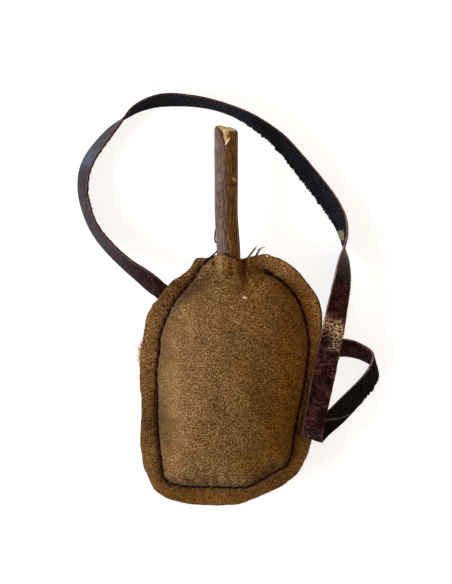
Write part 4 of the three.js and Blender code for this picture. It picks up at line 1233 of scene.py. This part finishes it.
# ---------------------------------------------------------------------- strap
def strap_materials():
    m, nt, bsdf = material("strap_grain")
    g = Graph(nt)
    vec = g.coords()
    patch = g.noise(vec, 160, 3.0, 0.6, 0.6)
    fine = g.noise(vec, 1500, 3.0, 0.6)
    # the finish has cracked into plates, wider across the strap than along it
    flat = g.node("ShaderNodeCombineXYZ")
    g.link(g.attribute("across"), flat.inputs[0])
    g.link(g.attribute("along"), flat.inputs[1])
    wob = g.node("ShaderNodeTexNoise")
    wob.inputs["Scale"].default_value = 0.9
    wob.inputs["Detail"].default_value = 2.0
    g.link(flat.outputs[0], wob.inputs["Vector"])
    push = g.node("ShaderNodeVectorMath", operation="MULTIPLY_ADD")
    g.link(wob.outputs["Color"], push.inputs[0])
    push.inputs[1].default_value = (1.5, 1.5, 0)
    g.link(flat.outputs[0], push.inputs[2])
    mp = g.node("ShaderNodeMapping")
    mp.inputs["Scale"].default_value = (0.34, 0.62, 1)
    g.link(push.outputs[0], mp.inputs["Vector"])
    crack = g.voronoi(mp.outputs[0], 1.0, feature="DISTANCE_TO_EDGE")
    crack2 = g.voronoi(mp.outputs[0], 2.4, feature="DISTANCE_TO_EDGE")
    base = g.ramp(patch, [(0.3, rgb(12, 0, 0)), (0.55, rgb(21, 1, 0)), (0.75, rgb(34, 5, 2))])
    big = g.ramp(crack, [(0.0, (1, 1, 1)), (0.026, (0.8, 0.8, 0.8)), (0.056, (0, 0, 0))])
    small = g.ramp(crack2, [(0.0, (1, 1, 1)), (0.03, (0.7, 0.7, 0.7)), (0.075, (0, 0, 0))])
    glint_net = g.ramp(g.voronoi(mp.outputs[0], 1.35, feature="DISTANCE_TO_EDGE"), [(0.0, (1, 1, 1)), (0.035, (0.85, 0.85, 0.85)), (0.085, (0, 0, 0))])
    thin = g.ramp(fine, [(0.40, (0, 0, 0)), (0.58, (1, 1, 1))])
    zone = g.ramp(g.noise(vec, 210, 2.0, 0.5), [(0.38, (0.05, 0.05, 0.05)), (0.58, (1, 1, 1))])
    # pale crack lines: real cracks, painted pale as a highlight along them
    where = g.math("MULTIPLY", g.math("MAXIMUM", big, g.math("MULTIPLY", small, 0.55)), zone)
    where = g.math("MULTIPLY", where, g.math("MULTIPLY_ADD", thin, 0.55, 0.45))
    where = g.math("MULTIPLY", where, g.attribute("cracked"))
    base = g.mix(g.math("MULTIPLY", where, 0.66), base, rgb(134, 80, 76))
    # painted highlight where the strap bends: a bright net of glints over a browner patch
    painted_glint = g.attribute("painted_glint")
    sparkle = g.ramp(g.noise(vec, 2000, 2.0, 0.6), [(0.52, (0, 0, 0)), (0.60, (1, 1, 1))])
    base = g.mix(g.math("MULTIPLY", painted_glint, 0.72), base, rgb(90, 52, 30))
    glint = g.math("MULTIPLY", painted_glint, g.math("MAXIMUM", g.math("MULTIPLY", glint_net, 0.95), g.math("MULTIPLY", sparkle, 0.12)))
    base = g.mix(glint, base, rgb(250, 222, 182))
    # painted highlight along the long fine cracks
    base = g.mix(g.math("MULTIPLY", g.attribute("crack_line_glint"), 0.20), base, rgb(150, 104, 98))
    # painted sheen, then a painted bluish reflection
    base = g.mix(g.attribute("painted_sheen"), base, (0.100, 0.112, 0.122))
    base = g.mix(g.attribute("painted_blue_sheen"), base, (0.090, 0.125, 0.185))
    worn = g.attribute("worn")
    base = g.mix(worn, base, rgb(140, 98, 92))
    g.link(base, bsdf.inputs["Base Color"])
    g.link(g.math("MULTIPLY_ADD", patch, 0.22, 0.22), bsdf.inputs["Roughness"])
    bsdf.inputs["Specular IOR Level"].default_value = 0.048
    ridge = g.ramp(crack, [(0.0, (0.2, 0.2, 0.2)), (0.04, (1, 1, 1)), (0.16, (0.5, 0.5, 0.5)), (0.4, (0.35, 0.35, 0.35))])
    ridge2 = g.ramp(crack2, [(0.0, (0.3, 0.3, 0.3)), (0.06, (1, 1, 1)), (0.25, (0.5, 0.5, 0.5))])
    hgt = g.math("ADD", g.math("MULTIPLY", fine, 0.25), g.math("ADD", g.math("MULTIPLY", ridge, 0.7), g.math("MULTIPLY", ridge2, 0.35)))
    g.link(g.bump(hgt, 0.8, 0.0003), bsdf.inputs["Normal"])
    f, nt, bsdf2 = material("strap_flesh")
    g = Graph(nt)
    vec = g.coords()
    n1 = g.noise(vec, 1300, 4.0, 0.65, 0.5)
    n2 = g.noise(vec, 150, 2.0, 0.5)
    base = g.ramp(n1, [(0.36, rgb(2, 2, 3)), (0.54, rgb(13, 12, 14)), (0.70, rgb(44, 43, 50))])
    base = g.mix(0.6, base, g.ramp(n2, [(0.3, (0.75, 0.75, 0.75)), (0.7, (1.2, 1.2, 1.25))]), "MULTIPLY")
    bare = g.attribute("bare")
    base = g.mix(bare, base, g.ramp(n1, [(0.35, rgb(72, 62, 42)), (0.55, rgb(106, 96, 68)), (0.75, rgb(140, 132, 104))]))
    # painted highlight along the crease
    base = g.mix(g.math("MULTIPLY", g.attribute("painted_crease_highlight"), 0.80), base, rgb(126, 118, 116))
    g.link(base, bsdf2.inputs["Base Color"])
    bsdf2.inputs["Roughness"].default_value = 0.95
    bsdf2.inputs["Specular IOR Level"].default_value = 0.08
    g.link(g.bump(n1, 0.7, 0.0003), bsdf2.inputs["Normal"])
    return m, f


mat_grain, mat_flesh = strap_materials()


def raw_edge_material():
    m, nt, bsdf = material("strap_cut_edge")
    g = Graph(nt)
    n = g.noise(g.coords(), 1200, 3.0, 0.6)
    pale = g.ramp(n, [(0.35, rgb(64, 38, 40)), (0.55, rgb(118, 84, 86)), (0.75, rgb(176, 144, 148))])
    dyed = g.ramp(n, [(0.35, rgb(22, 5, 6)), (0.55, rgb(54, 18, 20)), (0.75, rgb(98, 50, 50))])
    g.link(g.mix(g.attribute("pale"), dyed, pale), bsdf.inputs["Base Color"])
    bsdf.inputs["Roughness"].default_value = 0.85
    bsdf.inputs["Specular IOR Level"].default_value = 0.15
    g.link(g.bump(n, 0.5, 0.0002), bsdf.inputs["Normal"])
    return m


mat_raw = raw_edge_material()


def crackle(x, s, cx, cs, seed=151):
    """0 in the grooves, 1 on the plates, of an irregular net of cells."""
    gx, gs = x / cx, s / cs
    ix, js = np.floor(gx), np.floor(gs)
    d1 = np.full(gx.shape, 9.0)
    d2 = np.full(gx.shape, 9.0)
    for dx in (-1, 0, 1):
        for ds in (-1, 0, 1):
            jx = ix + dx + 0.5 + 0.42 * _hash(ix + dx, js + ds, np.zeros_like(ix), seed)
            jy = js + ds + 0.5 + 0.42 * _hash(ix + dx, js + ds, np.ones_like(ix), seed)
            d = np.hypot(gx - jx, gs - jy)
            m = d < d1
            d2 = np.where(m, d1, np.minimum(d2, d))
            d1 = np.where(m, d, d1)
    return smooth01(d2 - d1, 0.02, 0.28)


def build_strap():
    a, b = catmull(E1, 10), catmull(E2, 10)
    mid = (a + b) / 2
    d = length_along(mid)
    n = int(d[-1] / 0.5)
    s = np.linspace(0, d[-1], n)
    a = np.stack([np.interp(s, d, a[:, k]) for k in range(3)], 1)
    b = np.stack([np.interp(s, d, b[:, k]) for k in range(3)], 1)
    # the open loop bends gently; the folds on the right are tight
    st = np.interp(s, d, np.linspace(0, len(E1) - 1, len(d)))[:, None]
    open_part = smooth01(st, 2.5, 5) * (1 - smooth01(st, 40, 43))
    a = blur(a, 2.0) * (1 - open_part) + blur(a, 5.0) * open_part
    b = blur(b, 2.0) * (1 - open_part) + blur(b, 5.0) * open_part
    mid = (a + b) / 2
    t = np.gradient(mid, axis=0)
    t /= np.linalg.norm(t, axis=1)[:, None]
    w = b - a
    wid = np.linalg.norm(w, axis=1)
    w /= wid[:, None]
    nrm = np.cross(t, w)
    nrm /= np.linalg.norm(nrm, axis=1)[:, None]
    M = 26
    h = STRAP_T / 2
    e = 0.07
    # section: flesh face (+n) from E1 to E2, cut edge, grain face (-n) back, cut edge
    q = np.linspace(-1, 1, M)
    half = wid / 2
    st = np.interp(s, d, np.linspace(0, len(E1) - 1, len(d)))     # station along
    frayed = smooth01(st, 31, 34) * (1 - smooth01(st, 42, 44)) + 0.7 * smooth01(st, 71, 73) * (1 - smooth01(st, 77, 79))
    edge1 = 0.10 * fractal(s / 2.6, seed=101, octaves=3) + 1.9 * frayed * (np.abs(fractal(s / 1.15, seed=131, octaves=2)) - 0.22)
    left_fray = smooth01(st, 4, 7) * (1 - smooth01(st, 18, 20))
    edge2 = 0.10 * fractal(s / 2.6, seed=103, octaves=3) + 1.1 * left_fray * (np.abs(fractal(s / 1.2, seed=133, octaves=2)) - 0.22)
    cup = 0.20 * fractal(s / 30.0, seed=107, octaves=2)
    # cracked finish: raised plates between fine grooves, and soft cross wrinkles
    grid_x = np.outer(np.ones(n), q) * half[:, None]
    grid_s = np.outer(s, np.ones(M))
    plate = crackle(grid_x + 1.1 * fractal(grid_x / 2.2, grid_s / 2.2, seed=141), grid_s + 1.1 * fractal(grid_x / 2.2, grid_s / 2.2, seed=143), 3.0, 1.9)
    wrinkle = fractal(grid_x / 9.0, grid_s / 1.9, seed=147, octaves=2)
    limp = 0.5 + 0.5 * np.clip(fractal(s / 9.0, seed=149) * 2, -1, 1)
    relief = 0.10 * plate + 0.10 * wrinkle * limp[:, None]
    relief *= (1 - abs(q)[None, :] ** 6)
    h = h + 0.06
    verts = np.zeros((n, 2 * M, 3))
    for k in range(M):
        x = q[k] * (half - 0.12) + (-edge1 if q[k] < 0 else edge2) * abs(q[k]) ** 8
        c = cup * (1 - q[k] ** 2)
        roll = -e * abs(q[k]) ** 10
        bumpf = 0.05 * fractal(s / 1.6, q[k] * 3, seed=109, octaves=2)
        bumpg = -relief[:, k]
        verts[:, k] = mid + w * x[:, None] + nrm * (h + roll + c + bumpf)[:, None]
        verts[:, 2 * M - 1 - k] = mid + w * x[:, None] + nrm * (-h - roll + c + bumpg)[:, None]
    V = verts.reshape(-1, 3)
    V[:, 2] = np.maximum(V[:, 2], 0.03)
    S = 2 * M
    faces, mi = [], []
    for i in range(n - 1):
        for k in range(S):
            l = (k + 1) % S
            faces.append([i * S + k, i * S + l, (i + 1) * S + l, (i + 1) * S + k])
            mi.append(1 if k < M - 1 else 0 if M <= k < S - 1 else 2)
    faces.append(list(range(S))[::-1])
    faces.append([(n - 1) * S + k for k in range(S)])
    mi += [2, 2]
    o = mesh_object("leather_strap", V, faces, [mat_grain, mat_flesh, mat_raw], mi)
    import bmesh
    bm = bmesh.new()
    bm.from_mesh(o.data)
    bmesh.ops.recalc_face_normals(bm, faces=bm.faces)
    bm.to_mesh(o.data)
    bm.free()
    o.data.polygons.foreach_set("use_smooth", np.ones(len(o.data.polygons), bool))
    ss = np.repeat(s, S)
    qq = np.tile(np.r_[q, q[::-1]], n)
    worn = np.exp(-((1 - abs(qq)) / 0.035) ** 2) * (0.5 + 0.5 * np.clip(fractal(ss / 6, seed=119), -1, 1))
    set_attribute(o, "worn", np.clip(worn, 0, 1))
    stt = np.repeat(st, S)
    rag = 0.12 * fractal(qq * 3, seed=123, octaves=2)
    b0 = stt - 0.17 * (qq + 1) + 0.6 * rag
    bare = smooth01(b0, 44.0, 44.12) * (1 - smooth01(stt, 45.15, 45.35)) * (1 - smooth01(qq + 0.5 * rag, 0.25, 0.45))
    # a painted highlight along a crease across the flesh side just past the fold
    line = stt - (69.35 - 1.40 * qq + 0.10 * np.sin(5 * qq))
    set_attribute(o, "painted_crease_highlight", 0.8 * np.exp(-(line / 0.095) ** 2) * (abs(qq) < 0.96))
    set_attribute(o, "bare", np.clip(bare, 0, 1))
    set_attribute(o, "pale", 0.12 + 0.88 * smooth01(stt, 36, 43))
    # how strongly the painted crack highlight shows along the strap
    set_attribute(o, "cracked", 0.18 + 0.82 * smooth01(stt, 46, 51))
    set_attribute(o, "across", qq * np.repeat(half, S))
    set_attribute(o, "along", ss)
    # where the painted highlight lies along the strap
    lean = stt + 0.38 * qq + 0.25 * fractal(ss / 2.4, qq * 1.5, seed=139, octaves=2)
    painted_glint = smooth01(lean, 52.5, 53.3) * (1 - smooth01(lean, 53.7, 54.6)) * (0.62 + 0.38 * smooth01(-qq, -0.8, 0.5))
    painted_glint = np.maximum(painted_glint, 0.35 * smooth01(stt, 53.8, 54.3) * (1 - smooth01(stt, 54.8, 55.4)) * smooth01(-qq, -0.6, 0.6))
    # painted sheen on the finish, with a painted bluish reflection on a short stretch of the open loop
    sheen_amount = np.interp(stt, [2, 3, 4, 5, 7, 13, 14, 15, 16, 17, 18, 19, 21, 46.5, 47.3, 48.2, 49.4, 61.2, 62.5, 64.5], [0, 0.01, 0.02, 0.05, 0.10, 0.10, 0.14, 0.24, 0.34, 0.25, 0.20, 0.12, 0, 0, 0.18, 0.12, 0, 0, 0.05, 0])
    set_attribute(o, "painted_sheen", np.clip(sheen_amount * (1 + 0.5 * fractal(ss / 3.0, qq * 2, seed=161, octaves=2)), 0, 1))
    set_attribute(o, "painted_blue_sheen", np.clip(np.interp(stt, [13.8, 15, 15.6, 16.6], [0, 0.24, 0.18, 0]) * (1 + 0.5 * fractal(ss / 2.2, qq * 2, seed=163, octaves=2)), 0, 1))
    # long fine cracks right across the finish, painted pale as a highlight along them
    crack_line_glint = np.zeros_like(stt)
    for s_a, q_a, s_b, q_b, bow in ((50.8, -0.65, 51.1, 0.1, 0.12), (51.35, -0.68, 51.85, 0.45, -0.2), (52.15, -0.5, 52.35, 0.68, 0.12),
                                    (54.9, 0.9, 55.2, -0.5, 0.1), (56.3, 0.7, 56.1, -0.2, 0.1), (57.75, 0.72, 58.0, -0.2, 0.1),
                                    (58.9, 0.7, 59.15, -0.55, 0.25), (59.5, 0.68, 59.75, -0.3, 0.1), (62.05, 0.8, 61.9, -0.5, -0.2), (60.8, 0.9, 60.6, 0.2, 0.1)):
        k = (qq - q_a) / (q_b - q_a)
        mid_s = s_a + (s_b - s_a) * k + bow * 4 * k * (1 - k) + 0.05 * fractal(qq * 4, seed=167)
        crack_line_glint = np.maximum(crack_line_glint, np.exp(-((stt - mid_s) / 0.06) ** 2) * smooth01(k, -0.05, 0.12) * (1 - smooth01(k, 0.88, 1.05)))
    set_attribute(o, "crack_line_glint", crack_line_glint)
    set_attribute(o, "painted_glint", np.clip(painted_glint * (0.8 + 0.9 * fractal(ss / 1.5, qq * 3, seed=137)), 0, 1))
    # loose fibres along the cut edges
    rr = np.random.default_rng(19)
    hairs, dark = [], []
    for which, many in ((1, 620), (2, 520)):
        for k in range(many):
            i = int(rr.uniform(2, n - 3))
            if which == 1 and rr.random() > 0.12 + frayed[i]:
                continue
            if which == 2 and rr.random() > 0.06 + 0.75 * left_fray[i]:
                continue
            if st[i] < 1.5 or st[i] > len(E1) - 3:
                continue
            sg = -1 if which == 1 else 1
            at = mid[i] + w[i] * sg * (half[i] - 0.25) + nrm[i] * rr.uniform(-0.35, 0.35)
            out = w[i] * sg + t[i] * rr.uniform(-1.1, 1.1) + nrm[i] * rr.uniform(-0.3, 0.3)
            hairs.append(fibre(at, out, rr.uniform(0.5, 1.25), rr.uniform(0.10, 0.19), rr, 0.1))
            if at[2] < 0.4:
                hairs.pop()
    hv, hf = join(hairs)
    hv[:, 2] = np.maximum(hv[:, 2], 0.06)
    fray = mesh_object("strap_fray", hv, hf, [mat_fray])
    return o, mid, s, fray


mat_fray = simple_material("strap_fray_fibre", [(0.35, rgb(14, 6, 8)), (0.6, rgb(46, 22, 26)), (0.8, rgb(96, 62, 66))], 1500, 0.9, 0.3, 0.0001)
strap, strap_mid, strap_s, fray = build_strap()
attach(fray, "bag")

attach(strap, "bag")
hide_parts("strap")


# ---------------------------------------------------------------- stage, light
def stage_floor():
    m, nt, bsdf = material("floor_paper")
    g = Graph(nt)
    n = g.noise(g.coords(), 12, 2.0, 0.5)
    g.link(g.ramp(n, [(0.0, (0.25, 0.25, 0.25)), (1.0, (0.27, 0.27, 0.27))]), bsdf.inputs["Base Color"])
    bsdf.inputs["Roughness"].default_value = 0.9
    bsdf.inputs["Specular IOR Level"].default_value = 0.0
    bsdf.inputs["Emission Color"].default_value = (1, 1, 1, 1)
    bsdf.inputs["Emission Strength"].default_value = 0.84
    o = mesh_object("floor", [[-1500, -1500, 0], [1500, -1500, 0], [1500, 1500, 0], [-1500, 1500, 0]], [[0, 1, 2, 3]], [m])
    return o


stage_floor()


def area(name, loc, target, size, watts, color=(1, 1, 1)):
    li = bpy.data.lights.new(name, "AREA")
    li.shape = "DISK"
    li.size = size
    li.energy = watts
    li.color = color
    o = bpy.data.objects.new(name, li)
    o.location = loc
    o.rotation_mode = "QUATERNION"
    o.rotation_quaternion = (Vector(target) - Vector(loc)).to_track_quat("-Z", "Y")
    bpy.context.scene.collection.objects.link(o)
    return o


area("key", (-0.92, -0.34, 0.48), (0, 0, 0), 0.62, 22.6, (0.91, 1.0, 1.22))
area("fill", (0.58, 0.50, 0.62), (0, 0, 0), 0.7, 4.4, (1.0, 0.58, 0.22))
area("rim", (-0.64, 0.46, 0.22), (-0.03, 0.03, 0.01), 0.26, 4.5, (0.74, 0.87, 1.0))
world = bpy.data.worlds.new("studio")
world.use_nodes = True
world.node_tree.nodes["Background"].inputs[0].default_value = (1.0, 0.81, 0.50, 1)
world.node_tree.nodes["Background"].inputs[1].default_value = 0.31
bpy.context.scene.world = world
bpy.context.scene.view_settings.view_transform = "Standard"
bpy.context.scene.view_settings.look = "None"

cam = bpy.data.cameras.new("view")
cam.type = "PERSP"
cam.sensor_width = 36.0
cam.lens = 132.094
cam.clip_start, cam.clip_end = 0.05, 10
cam_o = bpy.data.objects.new("view", cam)
bpy.context.scene.collection.objects.link(cam_o)
EL = math.radians(82.0)
target = Vector((-2.033 * MM, 9.419 * MM, 9.0 * MM))
back_dir = Vector((0, -math.cos(EL), math.sin(EL)))
cam_o.location = target + back_dir * 0.9
cam_o.rotation_mode = "QUATERNION"
cam_o.rotation_quaternion = (-back_dir).to_track_quat("-Z", "Y")
bpy.context.scene.camera = cam_o
